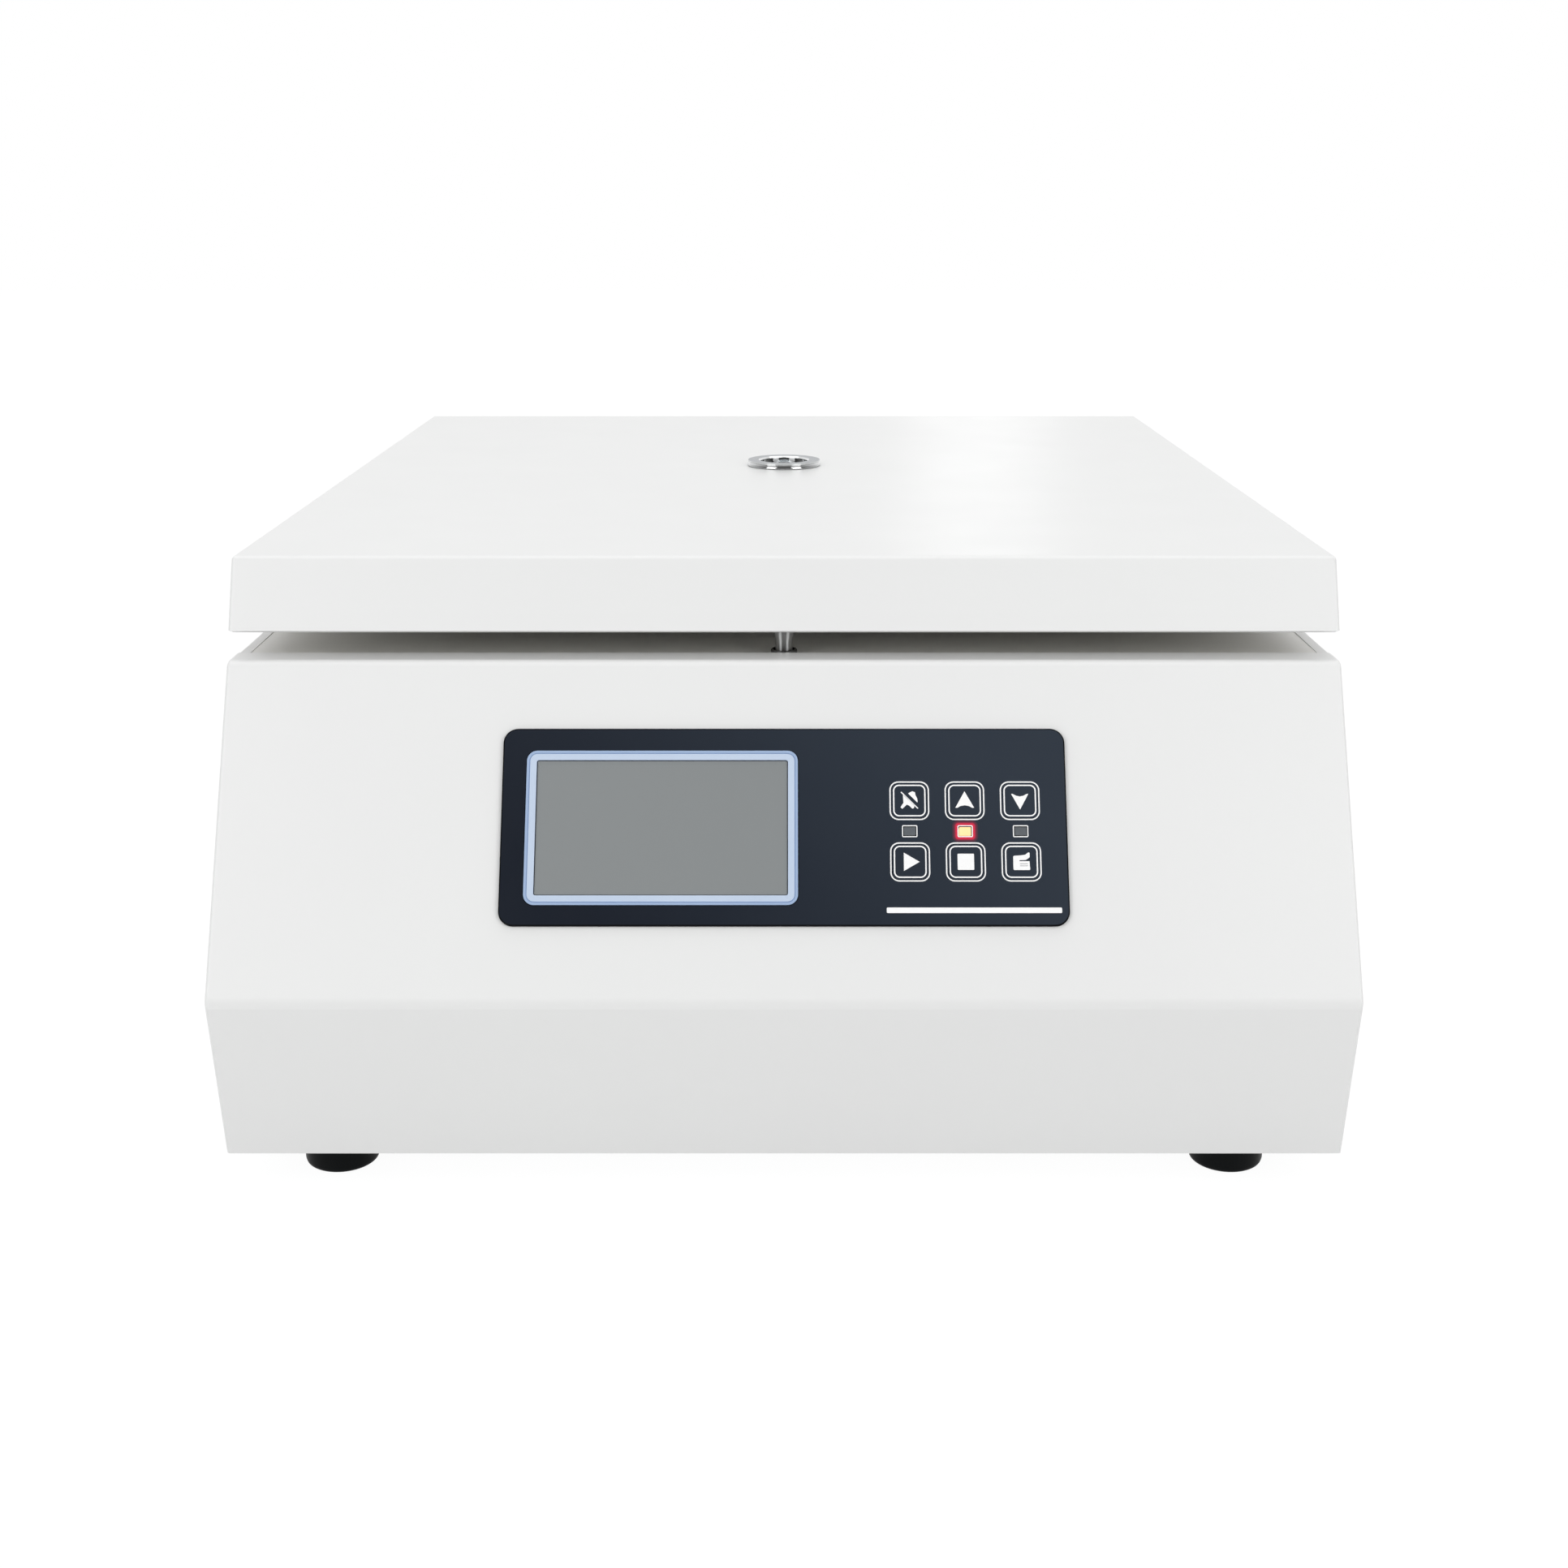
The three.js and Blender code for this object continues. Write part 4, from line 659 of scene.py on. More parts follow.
# Deck and lid liner: flat sheets that face each other across the lid's gap, painted in a warm
# light grey.
def coat_node(name, finish):
    """Gives a CAD node that is shown as it is a material."""
    node = frame["nodes"][name]
    node.data.materials.clear()
    node.data.materials.append(finish)


grey_coat = surface("grey_paint", ("ebeae6", "e7e6e2"), (9, 3), (40, 2, 0.1), 0.3, (700, 0.08, 0.1))
for name in ("deck_plate", "lid_liner"):
    coat_node(name, grey_coat.owner)


# Control panel: a dark satin film plate with a black edge, stuck on the sloped front, with
# openings for the display, the keys and the lamps. The film's colour is painted paler towards
# the right and the top, as painted light. Its black edge is partly the edge's own black and
# partly painted shade. A red glow of the lit lamp is painted on the film round it.
def extrude(height):
    """Extrudes the selected faces along Z by a height in mm."""
    bpy.ops.mesh.extrude_region_move(TRANSFORM_OT_translate={"value": (0, 0, height * mm)})


def raise_up(height):
    """Extrudes all that is being edited along Z by a height in mm, and closes the mesh."""
    bpy.ops.mesh.select_all(action="SELECT")
    extrude(height)
    bpy.ops.mesh.select_all(action="SELECT")
    bpy.ops.mesh.normals_make_consistent(inside=False)
    done()


def flat_plate(name, size, radius, centre, heights, steps=8):
    """A plate with rounded corners, flat about the panel's middle, in mm."""
    bpy.ops.object.select_all(action="DESELECT")
    place = Vector((centre[0], centre[1], heights[0])) * mm
    bpy.ops.mesh.primitive_plane_add(size=1, location=place)
    piece = bpy.context.object
    piece.scale = (size[0] * mm, size[1] * mm, 1)
    piece.name = name
    piece.data.name = name
    keep_place()
    edit(piece)
    bpy.ops.mesh.bevel(offset=radius * mm, segments=steps, affect="VERTICES")
    raise_up(heights[1] - heights[0])
    return piece


def panel_point(place):
    """A place on the panel in mm across and up from its middle."""
    return (panel_place.inverted() @ place).xy / mm


def outside_by(point, size, radius):
    """How far a point, in mm from the middle of a plate with rounded corners, lies outside it."""
    over = Vector((abs(point[0]) - size[0] / 2 + radius, abs(point[1]) - size[1] / 2 + radius))
    return (over.length if min(over) > 0 else max(over)) - radius


display_centre = Vector((-46.2, -0.45))
frame_size = Vector((102.9, 59.5))
frame_corner = 4.0
fitting_gap = 0.3
key_hole = (13.9, 13.9)
key_hole_corner = 2.8
key_names = ["key_mute", "key_up", "key_down", "key_start", "key_stop", "key_lid"]
key_rows = [9.85] * 3 + [-13.75] * 3
lamp_names = ["lamp_left", "lamp_middle", "lamp_right"]
lamp_row = -1.95
lamp_size = (5.0, 3.8)
lamp_outline = (5.8, 4.6)
lit_lamp = "lamp_middle"


def across(node):
    low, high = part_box(node)
    return (low.x + high.x) / 2 / mm


key_places = {name: (across(name), row) for name, row in zip(key_names, key_rows)}
lamp_places = {name: (across(name), lamp_row) for name in lamp_names}

film = Finish(bpy.data.materials.new("dark_film"), {"Specular IOR Level": 0.2})
# The film's colour is painted paler towards the right and the top, as painted light, over a random cloud of
# tone.
painted_light_across = (1 / (overlay_size.x * mm), 0, 0)
painted_light_upwards = panel_up * 4
film_cloud = (film.noise(5, 3) - 0.5) * 0.4
film_light_and_tone_share = film.along(painted_light_across) + film.along(painted_light_upwards, panel_place.translation)
film_light_and_tone_share = film_light_and_tone_share + film_cloud + 0.5
film.paint("Base Color", film.blend(film_light_and_tone_share, tone("191f2a"), tone("2f3742")))
film.paint("Roughness", film.noise(60) * 0.1 + 0.3)
film.bump(film.noise(2500), 0.05, 0.05 * mm)
# A red glow of the lit lamp is painted on the film round the lamp's outline, as light given off by the film
# itself.
lit_place = panel_place @ (Vector((*lamp_places[lit_lamp], 0)) * mm)
halo_start = 0.4
beside = abs(film.along((1, 0, 0), lit_place)).over((lamp_outline[0] / 2 - halo_start) * mm)
above = abs(film.along(panel_up, lit_place)).over((lamp_outline[1] / 2 - halo_start) * mm)
halo_reach = 2.5 * mm
halo_stops = [
    (0.0, (0.9, 0.0, 0.04, 1)),
    (0.4, (0.7, 0.0, 0.03, 1)),
    (0.62, (0.14, 0.0, 0.01, 1)),
    (1.0, (0.0, 0.0, 0.0, 1)),
]
halo_share = (beside * beside + above * above).root() / halo_reach
film.paint("Emission Color", film.node("ShaderNodeValToRGB", {"stops": halo_stops}, {0: halo_share}))
film.shader.inputs["Emission Strength"].default_value = 0.9
dark_film = film.owner

dull = {"Specular IOR Level": 0.08}
# Black for the film's edge: partly the edge's own colour and partly a painted shade line round the film.
edge_ink_and_shade = surface("black_edge_and_shade", ("08090b", "0e1013"), (80, 2), (150, 2, 0.1), 0.5, constants=dull)

overlay_corner = 5.6
overlay_edge = 0.55
lamp_hole_corner = 0.3
through = (-5, 5)
overlay = flat_plate("overlay_plate", overlay_size, overlay_corner, (0, 0), (-overlay_sheet, 0), steps=10)
display_hole = frame_size + Vector((2, 2)) * fitting_gap
cutters = [flat_plate("display_cutter", display_hole, frame_corner + fitting_gap, display_centre, through)]
for name in key_names:
    cutters.append(flat_plate("key_cutter", key_hole, key_hole_corner, key_places[name], through))
for name in lamp_names:
    cutter = flat_plate("lamp_cutter", lamp_size, lamp_hole_corner, lamp_places[name], through, steps=3)
    cutters.append(cutter)
cut_out(overlay, *cutters)
edit(overlay)
pick(
    "EDGE",
    lambda corners, _: all(
        near(c.z, 0) and abs(outside_by(c / mm, overlay_size, overlay_corner)) < 0.1 for c in corners
    ),
)
bpy.ops.mesh.bevel(offset=overlay_edge * mm, segments=3)
done()
shade(overlay)
on_panel(overlay)
fit(overlay, dark_film, "housing", "dark_overlay", "panel_overlay")
# The film's sides and eased top edge take the black, partly its own edge and partly painted shade.
trim(overlay, edge_ink_and_shade.owner, lambda face: face.normal.dot(panel_out) < 0.98)


# Display: a raised pale blue border with a darker stepped rim, and a grey glass a little behind
# its inner edge, on the display's own casing.
def blue_moulding(name, colour, pale):
    return surface(name, (colour, pale), (25, 3), (80, 2, 0.08), 0.3).owner


frame_window = Vector((95.4, 52.2))
window_corner = 0.8
frame_face = 0.4
frame_back = frame_face - 2.6
rim_width = 0.9
groove_width = 0.4
groove_depth = 0.3
border = flat_plate("display_border", frame_size, frame_corner, display_centre, (frame_back, frame_face))
edit(border)
pick("FACE", lambda corners, normal: normal.z > 0.9)
bpy.ops.mesh.inset(thickness=rim_width * mm)
for way in (-1, 1):
    bpy.ops.mesh.inset(thickness=groove_width / 2 * mm)
    bpy.ops.transform.translate(value=(0, 0, way * groove_depth * mm))
done()
cut_out(border, flat_plate("window_cutter", frame_window, window_corner, display_centre, through, steps=4))
shade(border, 30)
on_panel(border)
fit(border, blue_moulding("blue_border", "bfcfe6", "cbd9ec"), "housing", "blue_frame", "display_frame")
rim_inside = frame_size - Vector((2, 2)) * (rim_width + groove_width)
rim_corner = frame_corner - rim_width
trim(
    border,
    blue_moulding("blue_rim", "9bb3d5", "a6bbda"),
    lambda face: outside_by(panel_point(face.center) - display_centre, rim_inside, rim_corner) > -0.05,
)

sheen = {"Coat Weight": 0.3, "Coat Roughness": 0.15}
grey_glass = surface(
    "display_glass", ("8c9091", "898d8e"), (14, 3), (50, 2, 0.08), 0.3, (3000, 0.03, 0.03), sheen
)
glass_size = frame_window - Vector((2, 2)) * fitting_gap
glass_face = frame_face - 0.6
glass_back = frame_back - fitting_gap
glass_corner = 0.5
module_size = (100.0, 56.6)
module_back = -9.8
module_step = 0.1
display_heights = (glass_back, glass_face)
display = flat_plate("display_glass", glass_size, glass_corner, display_centre, display_heights, steps=4)
edit(display)
pick("FACE", lambda corners, normal: normal.z < -0.9)
extrude(-module_step)
bpy.ops.transform.resize(
    value=(module_size[0] / glass_size.x, module_size[1] / glass_size.y, 1),
    center_override=Vector((*display_centre, 0)) * mm,
)
module_depth = glass_back - module_step - module_back
extrude(-module_depth)
done()
soften(display, 0.15 * mm)
on_panel(display)
fit(display, grey_glass.owner, "housing", "screen", "display_screen")


# Keys: film-covered caps, each with a printed inner outline and its sign, inside an outline
# printed on the overlay.
def flat_ring(name, size, radius, line, centre, height, steps=8):
    """A printed outline with rounded corners, flat about the panel's middle, in mm."""
    piece = flat_plate(name, size, radius, centre, (height, height + 1), steps)
    edit(piece)
    pick("FACE", lambda corners, normal: normal.z > -0.9)
    bpy.ops.mesh.delete(type="FACE")
    pick("FACE", lambda corners, normal: True)
    bpy.ops.mesh.inset(thickness=line * mm)
    bpy.ops.mesh.delete(type="FACE")
    raise_up(ink)
    return piece


ink_shine = {"Specular IOR Level": 0.4}
print_ink = surface(
    "white_print", ("ffffff", "fafafa"), (300, 2), (200, 2, 0.1), 0.35, (2500, 0.05, 0.05), ink_shine
)
white_print = print_ink.owner
ink = 0.04
print_line = 0.5
cap_top = 0.25
cap_size = (13.6, 13.6)
cap_corner = 2.5
cap_back = -1.5
flange_step = 0.01
flange_spread = 1.147
flange_thickness = 1.2
stem_inset = 5.3
stem_length = 2.4
outer_line_size, outer_line_corner = (15.0, 15.0), 3.4
inner_line_size, inner_line_corner = (12.3, 12.3), 2.3


def printed(piece, body):
    on_panel(piece)
    fit(piece, white_print, body, "white_paint")


signs = {
    "key_mute": [
        [
            (-0.45, 2.75), (0.2, 3.15), (1.15, 3.6), (2.2, 3.2), (2.35, 2.1), (2.9, 1.0), (3.15, -0.2),
            (3.0, -0.75),
        ],
        [
            (-2.4, 2.1), (-1.9, 2.1), (1.95, -1.8), (1.7, -2.9), (1.1, -3.15), (-0.1, -1.95),
            (-1.0, -1.6), (-2.7, -3.2), (-3.4, -2.6), (-2.25, -0.9),
        ],
        [(-3.3, 3.2), (-2.95, 3.45), (3.35, -2.9), (3.05, -3.2)],
    ],
    "key_up": [
        [
            (0, 3.6), (3.55, -2.75), (2.9, -2.85), (1.5, -2.1), (0, -1.85), (-1.5, -2.1), (-2.9, -2.85),
            (-3.55, -2.75),
        ],
    ],
    "key_down": [
        [
            (0, -3.5), (3.25, 2.55), (2.7, 2.6), (1.3, 1.85), (0, 1.6), (-1.3, 1.85), (-2.7, 2.6),
            (-3.25, 2.55),
        ],
    ],
    "key_start": [[(-2.4, 3.5), (3.55, 0), (-2.4, -3.5)]],
    "key_stop": [
        [
            (-3.1, 2.9), (-2.9, 3.1), (2.9, 3.1), (3.1, 2.9), (3.1, -2.9), (2.9, -3.1), (-2.9, -3.1),
            (-3.1, -2.9),
        ],
    ],
    "key_lid": [
        [
            (-3.1, 2.0), (-2.8, 2.3), (-0.5, 2.45), (1.4, 2.7), (2.6, 3.6), (3.1, 3.5), (3.1, 1.75),
            (2.4, 1.2), (1.6, 0.7), (-0.75, 0.6), (-0.75, 0.25), (3.0, 0.25), (3.2, -2.9), (2.9, -3.15),
            (-2.8, -3.15), (-3.1, -2.9),
        ],
    ],
}
slit_size = (3.0, 0.16)
slit_corner = 0.05
slit_places = [(0.9, -0.76), (0.9, -1.55)]
for name in key_names:
    centre = Vector(key_places[name])
    middle = Vector((*centre, 0)) * mm
    cap = flat_plate(name + "_cap", cap_size, cap_corner, centre, (cap_back, cap_top))
    edit(cap)
    pick("FACE", lambda corners, normal: normal.z < -0.9)
    extrude(-flange_step)
    bpy.ops.transform.resize(value=(flange_spread, flange_spread, 1), center_override=middle)
    extrude(-flange_thickness)
    bpy.ops.mesh.inset(thickness=stem_inset * mm)
    extrude(-stem_length)
    done()
    soften(cap, 0.12 * mm)
    on_panel(cap)
    fit(cap, dark_film, name, "key_plastic", name)
    outer_line = flat_ring(name + "_outer_line", outer_line_size, outer_line_corner, print_line, centre, 0)
    printed(outer_line, "housing")
    inner_line = flat_ring(
        name + "_inner_line", inner_line_size, inner_line_corner, print_line, centre, cap_top
    )
    printed(inner_line, name)
    for i, points in enumerate(signs[name]):
        corners = [Vector((centre.x + x, centre.y + y, cap_top)) * mm for x, y in points]
        sign = draw(f"{name}_sign_{i + 1}", corners, closed=True)
        raise_up(ink)
        if name == "key_lid":
            for slit in slit_places:
                place = centre + Vector(slit)
                cut_out(sign, flat_plate("slit_cutter", slit_size, slit_corner, place, through, steps=1))
        printed(sign, name)


# Lamps and stripe: small clear light guides, each in a printed outline, the middle one lit amber
# white, and a printed stripe under the keys.
gloss, lit = {"Coat Weight": 0.3}, {"Emission Strength": 0.85}
dark_lamp = surface("dark_lamp", ("666b70", "5b6065"), (400, 2), (300, 2, 0.1), 0.3, constants=gloss)
amber_lamp = surface("lit_lamp", ("b08050", "b88858"), (400, 2), (300, 2, 0.1), 0.3, constants=lit)
amber_lamp.paint("Emission Color", amber_lamp.blend(amber_lamp.noise(500), tone("ffe9b4"), tone("ffdf9c")))
guide_size = (lamp_size[0] - 2 * fitting_gap, lamp_size[1] - 2 * fitting_gap)
guide_corner = 0.2
guide_heights = (-9.9, -0.05)
lamp_line = 0.38
lamp_line_corner = 0.5
for name in lamp_names:
    centre = lamp_places[name]
    guide = flat_plate(name + "_guide", guide_size, guide_corner, centre, guide_heights, steps=3)
    soften(guide, 0.1 * mm)
    on_panel(guide)
    lamp_finish = amber_lamp if name == lit_lamp else dark_lamp
    fit(guide, lamp_finish.owner, "housing", "lamp_plastic", name)
    outline = flat_ring(name + "_line", lamp_outline, lamp_line_corner, lamp_line, centre, 0, steps=4)
    printed(outline, "housing")
stripe_size, stripe_corner = (65.5, 2.1), 0.4
stripe_centre = (71.15, -32.15)
printed(flat_plate("white_stripe", stripe_size, stripe_corner, stripe_centre, (0, ink), steps=4), "housing")


# Feet: moulded black rubber, tapering a little to a flat sole with a rounded edge, and with a recess
# for the screw.
def copy_of(piece, name):
    """A copy of a finished shape with its own mesh."""
    copy = bpy.data.objects.new(name, piece.data.copy())
    copy.data.name = name
    scene.collection.objects.link(copy)
    return copy


def move_mesh(piece, matrix):
    select_only(piece)
    piece.matrix_world = matrix
    keep_place()


def moulded(name, colour, pale, roughness, grain, shine=0.5):
    """Rubber, plastic or enamel with a fine grain."""
    fine = (1800, grain, 0.1)
    shiny = {"Specular IOR Level": shine}
    return surface(name, (colour, pale), (50, 3), (120, 2, 0.12), roughness, fine, shiny).owner


black_rubber = moulded("black_rubber", "0c0e0f", "141617", 0.32, 0.1, shine=0.06)
foot_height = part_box("foot_front_left")[1].z / mm
foot_recess_radius = 5.0
foot_recess_depth = 9.0
first_foot = turn(
    "foot",
    [
        (0, foot_recess_depth),
        (foot_recess_radius, foot_recess_depth),
        (foot_recess_radius, 0.0),
        (12.9, 0.0),
        (14.1, 0.9),
        (14.5, 2.4),
        (14.8, foot_height),
        (0, foot_height),
    ],
    (0, 0),
    edge=0.5,
)
for name in ("foot_front_left", "foot_front_right", "foot_rear_left", "foot_rear_right"):
    low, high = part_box(name)
    foot = copy_of(first_foot, name + "_rubber")
    move_mesh(foot, Matrix.Translation((*((low + high) / 2).xy, 0)))
    fit(foot, black_rubber, "housing", "black_rubber", name)
bpy.data.objects.remove(first_foot)


# Chamber: a bowl spun from stainless sheet, whose flange lies on the deck, with a rubber seal on
# the flange and a rubber boot where the motor's neck comes up through its raised middle.
def arc(centre, radius, start, end, steps=6):
    """Points of an arc in degrees, as (radius, height) in mm."""
    turns = [math.radians(start + (end - start) * i / steps) for i in range(steps + 1)]
    return [(centre[0] + radius * math.cos(t), centre[1] + radius * math.sin(t)) for t in turns]


bowl_low, bowl_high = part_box("chamber_bowl")
chamber_axis = ((bowl_low + bowl_high) / 2).xy
bowl_flange_radius = (bowl_high.x - bowl_low.x) / 2 / mm
bowl_radius = bowl_flange_radius - 11
bowl_draught = 5
bowl_sheet = 1.5
bowl_corner = 18
cone_radius = 80
cone_top_radius = 34
cone_rise = 14
bowl_hole_radius = 24
bowl_floor, bowl_top = bowl_low.z / mm, bowl_high.z / mm
corner_centre = (bowl_radius + bowl_sheet - bowl_draught - bowl_corner, bowl_floor + bowl_corner)

spun = Finish(bpy.data.materials.new("spun_stainless"), {"Metallic": 1.0})
from_middle = spun.along((1, 0, 0), (*chamber_axis, 0))
from_front = spun.along((0, 1, 0), (*chamber_axis, 0))
spin_radius = (from_middle * from_middle + from_front * from_front).root()
spin_place = spun.node("ShaderNodeCombineXYZ", values={"X": spin_radius, "Y": spun.along((0, 0, 1))})
spin_marks = spun.node("ShaderNodeTexNoise", values={"Vector": spin_place, "Scale": 900, "Detail": 3})
spun.paint("Base Color", spun.blend(spin_marks, tone("b4b7ba"), tone("c9cccd")))
spun.paint("Roughness", spin_marks * 0.2 + 0.2)
spun.bump(spin_marks, 0.15, 0.05 * mm)

bowl = turn(
    "spun_bowl",
    [
        (bowl_flange_radius, bowl_top),
        (bowl_flange_radius, bowl_top - bowl_sheet),
        (bowl_radius + bowl_sheet, bowl_top - bowl_sheet),
        *arc(corner_centre, bowl_corner, 0, -90),
        (cone_radius, bowl_floor),
        (cone_top_radius, bowl_floor + cone_rise),
        (bowl_hole_radius, bowl_floor + cone_rise),
        (bowl_hole_radius, bowl_floor + cone_rise + bowl_sheet),
        (cone_top_radius, bowl_floor + cone_rise + bowl_sheet),
        (cone_radius, bowl_floor + bowl_sheet),
        *arc(corner_centre, bowl_corner - bowl_sheet, -90, 0),
        (bowl_radius, bowl_top - bowl_sheet),
        (bowl_radius + bowl_sheet, bowl_top),
        (bowl_flange_radius, bowl_top),
    ],
    chamber_axis,
    steps=128,
)
fit(bowl, spun.owner, "housing", "stainless", "chamber_bowl")

seal_low, seal_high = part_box("chamber_seal")
seal_base, seal_top = seal_low.z / mm, seal_high.z / mm
seal_radius = (seal_high.x - seal_low.x) / 2 / mm
seal_width = 10
seal_crown = 4.9
seal_half = seal_width / 2
seal_steps = 10
crown = [
    (seal_radius - seal_half + seal_half * math.cos(t), seal_top - seal_crown + seal_crown * math.sin(t))
    for t in (math.pi * i / seal_steps for i in range(seal_steps + 1))
]
seal_inside = (seal_radius - seal_width, seal_base)
seal_profile = [seal_inside, (seal_radius, seal_base), *crown, seal_inside]
seal = turn("rubber_seal", seal_profile, chamber_axis, steps=128)
fit(seal, black_rubber, "housing", "black_rubber", "chamber_seal")

boot_low, boot_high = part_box("spindle_boot")
boot_bottom, boot_top = boot_low.z / mm, boot_high.z / mm
boot_radius = (boot_high.x - boot_low.x) / 2 / mm
boot_neck_radius = 23.7
boot_bore_radius = 20.3
boot_flange = boot_bottom + 8.3
boot_flange_height = 2.5
boot = turn(
    "rubber_boot",
    [
        (boot_bore_radius, boot_bottom),
        (boot_neck_radius, boot_bottom),
        (boot_neck_radius, boot_flange),
        (boot_radius, boot_flange),
        (boot_radius, boot_flange + boot_flange_height),
        (boot_bore_radius + 3.0, boot_flange + boot_flange_height),
        (boot_bore_radius, boot_top),
        (boot_bore_radius, boot_bottom),
    ],
    chamber_axis,
    edge=0.5,
)
fit(boot, black_rubber, "housing", "black_rubber", "spindle_boot")


# Rotor: an angle head turned from aluminium and anodised, with six bores that lean outwards and
# a seat round each, steel sleeves that hang in them, and a nut that holds it on the shaft.
def smoothed(node, name, width, angle=30):
    """A copy of a CAD node with its flats joined, its edges eased and its round faces smooth."""
    piece = copy_of(frame["nodes"][node], name)
    edit(piece)
    bpy.ops.mesh.remove_doubles(threshold=0.001 * mm)
    bpy.ops.mesh.dissolve_limited(angle_limit=math.radians(0.5))
    done()
    soften(piece, width * mm, 2, angle)
    return piece


anodised = Finish(bpy.data.materials.new("anodised_aluminium"), {"Metallic": 1.0})
tool_marks = anodised.noise(1200, 2, (0.05, 0.05, 1))
anodised.paint("Base Color", anodised.blend(anodised.noise(40, 3), tone("a3a7ab"), tone("b2b6b9")))
anodised.paint("Roughness", tool_marks * 0.12 + 0.26)
anodised.bump(tool_marks, 0.08, 0.05 * mm)
head = smoothed("rotor_head", "angle_head", 0.35, 32)
fit(head, anodised.owner, "rotor", "aluminium", "rotor_head")

sleeve_steel = metal("sleeve_steel", "b6b9bb", "c6c9ca", 0.22, 900, 0.1)
tube_count = 6
tube_lean = math.radians(35)
mouth_radius = 58 * mm
mouth_height = 180 * mm
sleeve_radius = 17
sleeve_length = 98
sleeve_bore = 15.2
sleeve_floor = 2
sleeve_rim_radius = 19.5
sleeve_rim = (0.3, 2.7)
end_rise = 8
end_shares = [(math.sin(t), 1 - math.cos(t)) for t in (math.pi / 2 * i / 6 for i in range(7))]
inner_end = [
    (sleeve_bore * out, end_rise * up - sleeve_length + sleeve_floor) for out, up in end_shares
]
first_sleeve = turn(
    "sleeve",
    [
        *((sleeve_radius * out, end_rise * up - sleeve_length) for out, up in end_shares),
        (sleeve_radius, sleeve_rim[0]),
        (sleeve_rim_radius, sleeve_rim[0]),
        (sleeve_rim_radius, sleeve_rim[1]),
        (sleeve_bore, sleeve_rim[1]),
        *reversed(inner_end),
    ],
    (0, 0),
    steps=48,
    edge=0.3,
)
for i in range(tube_count):
    name = f"tube_sleeve_{i + 1}"
    tube = copy_of(first_sleeve, name + "_steel")
    round_shaft = Matrix.Rotation((i + 0.5) * math.tau / tube_count, 4, "Z")
    leaning = Matrix.Translation((mouth_radius, 0, mouth_height)) @ Matrix.Rotation(-tube_lean, 4, "Y")
    move_mesh(tube, Matrix.Translation((*chamber_axis, 0)) @ round_shaft @ leaning)
    fit(tube, sleeve_steel, "rotor", "stainless", name)
bpy.data.objects.remove(first_sleeve)

zinc_steel = metal("zinc_steel", "9fa4a6", "b0b4b5", 0.3, 200, 0.1)
nut = smoothed("rotor_nut", "head_nut", 0.5)
fit(nut, polished_steel, "rotor", "polished_steel", "rotor_nut")
coat_node("drive_shaft", zinc_steel)


# Hinges: two plated steel butt hinges behind the lid, each leaf held by two cross-head screws.
# The rear panel is held by the same screws.
first_screw = turn(
    "screw",
    [(0, -1.0), (1.5, -1.0), (1.5, 0), (3.4, 0), (3.2, 0.7), (2.0, 1.15), (0, 1.3)],
    (0, 0),
    steps=24,
)
recess_half = Vector((1.6, 0.35, 0.8)) * mm
recess_middle = Vector((0, 0, 1.35)) * mm
cut_out(
    first_screw,
    block("recess_cutter", recess_middle - recess_half, recess_middle + recess_half),
    block("recess_cutter", recess_middle - recess_half.yxz, recess_middle + recess_half.yxz),
)
soften(first_screw, 0.08 * mm, 1, angle=40)


def rear_screw(name, x, y, z, body):
    """A cross-head screw whose head seats on a surface that faces the rear."""
    screw = copy_of(first_screw, name)
    move_mesh(screw, Matrix.Translation((x, y, z)) @ Matrix.Rotation(-math.pi / 2, 4, "X"))
    fit(screw, zinc_steel, body, "zinc_steel")


leaf_face = case_high.y + 2.3 * mm
screw_spread = 16 * mm
screw_inset = 8 * mm
for side in ("left", "right"):
    for half, body in (("body", "housing"), ("lid", "lid")):
        node = f"hinge_{half}_leaf_{side}"
        low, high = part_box(node)
        leaf = smoothed(node, node + "_plated", 0.3, 40)
        fit(leaf, zinc_steel, body, "zinc_steel", node)
        screw_z = low.z + screw_inset if half == "body" else high.z - screw_inset
        for i, step in enumerate((-1, 1)):
            x = (low.x + high.x) / 2 + step * screw_spread
            rear_screw(f"{node}_screw_{i + 1}", x, leaf_face, screw_z, body)
    coat_node("hinge_pin_" + side, zinc_steel)

rear_low, rear_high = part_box("rear_panel")
for i, x in enumerate((rear_low.x + screw_inset, 0, rear_high.x - screw_inset)):
    for j, z in enumerate((rear_low.z + screw_inset, rear_high.z - screw_inset)):
        rear_screw(f"rear_panel_screw_{2 * i + j + 1}", x, rear_high.y, z, "housing")
coat_node("rear_panel", white_paint)


# Mains inlet and switch: moulded black, the inlet with three plated pins and two screws, the
# switch with a tilted rocker and its printed on and off marks.
black_plastic = moulded("black_plastic", "121314", "191a1b", 0.36, 0.15)
inlet_low, inlet_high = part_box("power_inlet")
inlet_middle = (inlet_low + inlet_high) / 2
inlet = smoothed("power_inlet", "mains_inlet", 0.4, 40)
fit(inlet, black_plastic, "housing", "black_plastic", "power_inlet")
inlet_screw_reach = 20 * mm
for i, step in enumerate((-1, 1)):
    x = inlet_middle.x + step * inlet_screw_reach
    rear_screw(f"inlet_screw_{i + 1}", x, inlet_high.y, inlet_middle.z, "housing")
contact_half = Vector((1.05, 7.1, 2.05)) * mm
contact_pitch = 7 * mm
contact_drop = 2 * mm
contact_recess = 17 * mm
contact_y = inlet_high.y - contact_recess + contact_half.y
for i, step in enumerate((-1, 0, 1)):
    drop = contact_drop if step == 0 else -contact_drop
    middle = Vector((inlet_middle.x + step * contact_pitch, contact_y, inlet_middle.z + drop))
    contact = block(f"inlet_pin_{i + 1}", middle - contact_half, middle + contact_half)
    soften(contact, 0.4 * mm)
    fit(contact, polished_steel, "housing", "polished_steel")

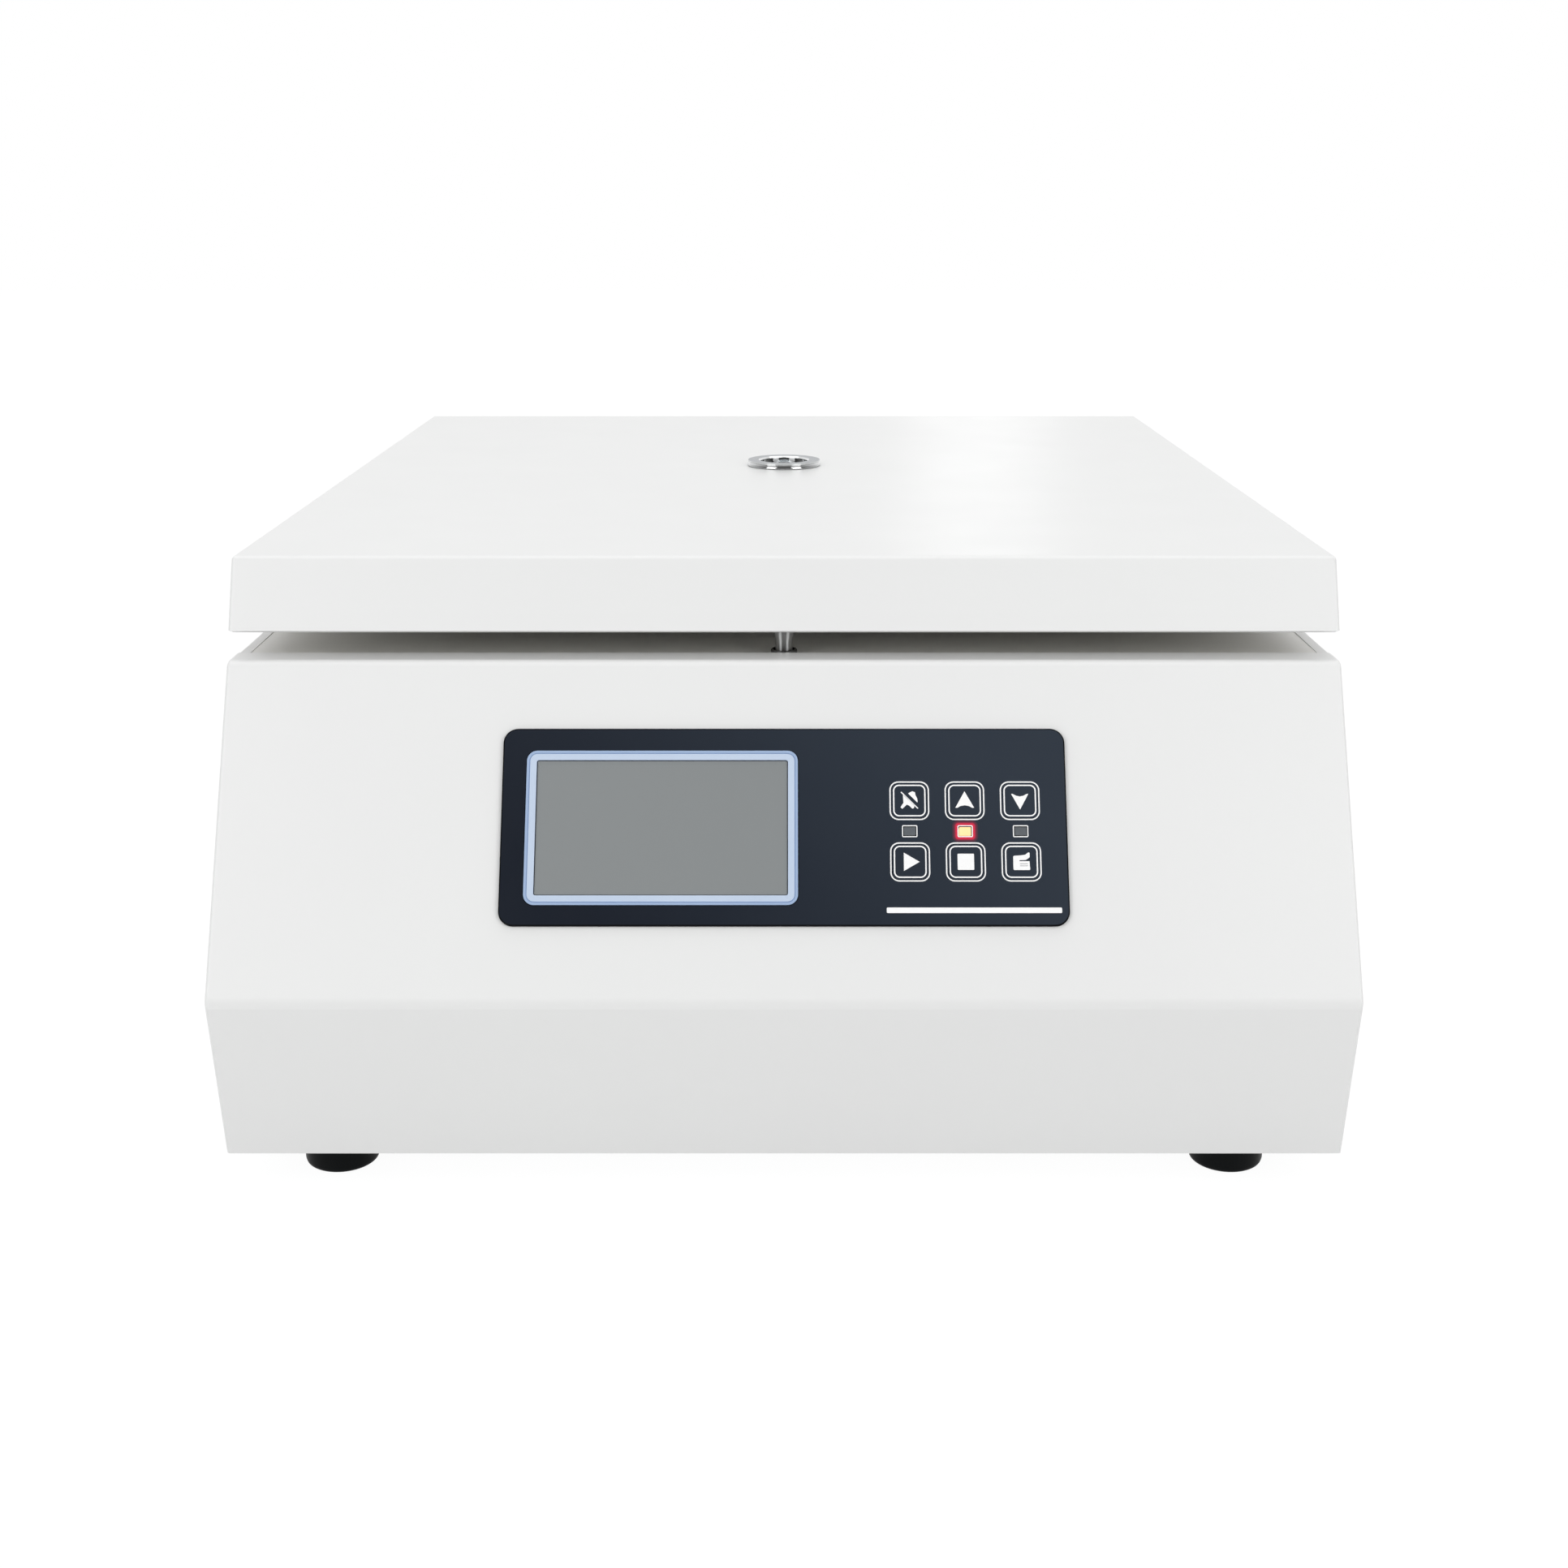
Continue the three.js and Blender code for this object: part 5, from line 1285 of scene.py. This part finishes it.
switch_body = smoothed("switch_frame", "mains_switch_frame", 0.4, 40)
fit(switch_body, black_plastic, "housing", "black_plastic", "switch_frame")
rocker = smoothed("switch_rocker", "mains_rocker", 0.25, 8)
fit(rocker, black_plastic, "switch_rocker", "black_plastic", "switch_rocker")
rocker_low, rocker_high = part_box("switch_rocker")
rocker_x = (rocker_low.x + rocker_high.x) / 2
flush_face_y = 278.32 * mm
flush_mark_z = 56.45 * mm
on_mark_half = Vector((0.4, 0.06, 1.7)) * mm
on_mark_middle = Vector((rocker_x, flush_face_y, flush_mark_z))
on_mark = block("rocker_on_mark", on_mark_middle - on_mark_half, on_mark_middle + on_mark_half)
fit(on_mark, white_print, "switch_rocker", "white_paint")
raised_face_middle = Vector((rocker_x, 279.705 * mm, 48.565 * mm))
raised_face_turn = math.radians(-70)
off_mark_radii = (1.2, 1.9)
off_mark_profile = [
    (off_mark_radii[0], -0.05),
    (off_mark_radii[1], -0.05),
    (off_mark_radii[1], 0.06),
    (off_mark_radii[0], 0.06),
    (off_mark_radii[0], -0.05),
]
off_mark = turn("rocker_off_mark", off_mark_profile, (0, 0), steps=32)
move_mesh(off_mark, Matrix.Translation(raised_face_middle) @ Matrix.Rotation(raised_face_turn, 4, "X"))
fit(off_mark, white_print, "switch_rocker", "white_paint")


# What works inside: motor, its plate and dampers, the lock under the deck, the boards and the
# base plate. They keep the CAD's shapes, in plated steel, black enamel, rubber and board green.
motor_enamel = moulded("motor_enamel", "17181a", "1e2022", 0.38, 0.2)
board = Finish(bpy.data.materials.new("circuit_board"), {"Specular IOR Level": 0.5, "Coat Weight": 0.3})
cells = board.node(
    "ShaderNodeTexVoronoi",
    {"feature": "DISTANCE_TO_EDGE"},
    {"Vector": board.place(), "Scale": 260},
)
board.paint("Base Color", board.blend((cells - 0.06) * 30, tone("2f8a55"), tone("14592f")))
board.paint("Roughness", board.noise(200) * 0.1 + 0.3)
inside = {
    "base_plate": zinc_steel,
    "motor_housing": motor_enamel,
    "motor_plate": zinc_steel,
    "motor_damper_1": black_rubber,
    "motor_damper_2": black_rubber,
    "motor_damper_3": black_rubber,
    "lock_guide": zinc_steel,
    "lock_bolt": zinc_steel,
    "lock_solenoid": black_plastic,
    "control_board": board.owner,
    "power_board": board.owner,
    "drive_board": board.owner,
}
for name, finish in inside.items():
    coat_node(name, finish)
bpy.data.objects.remove(first_screw)
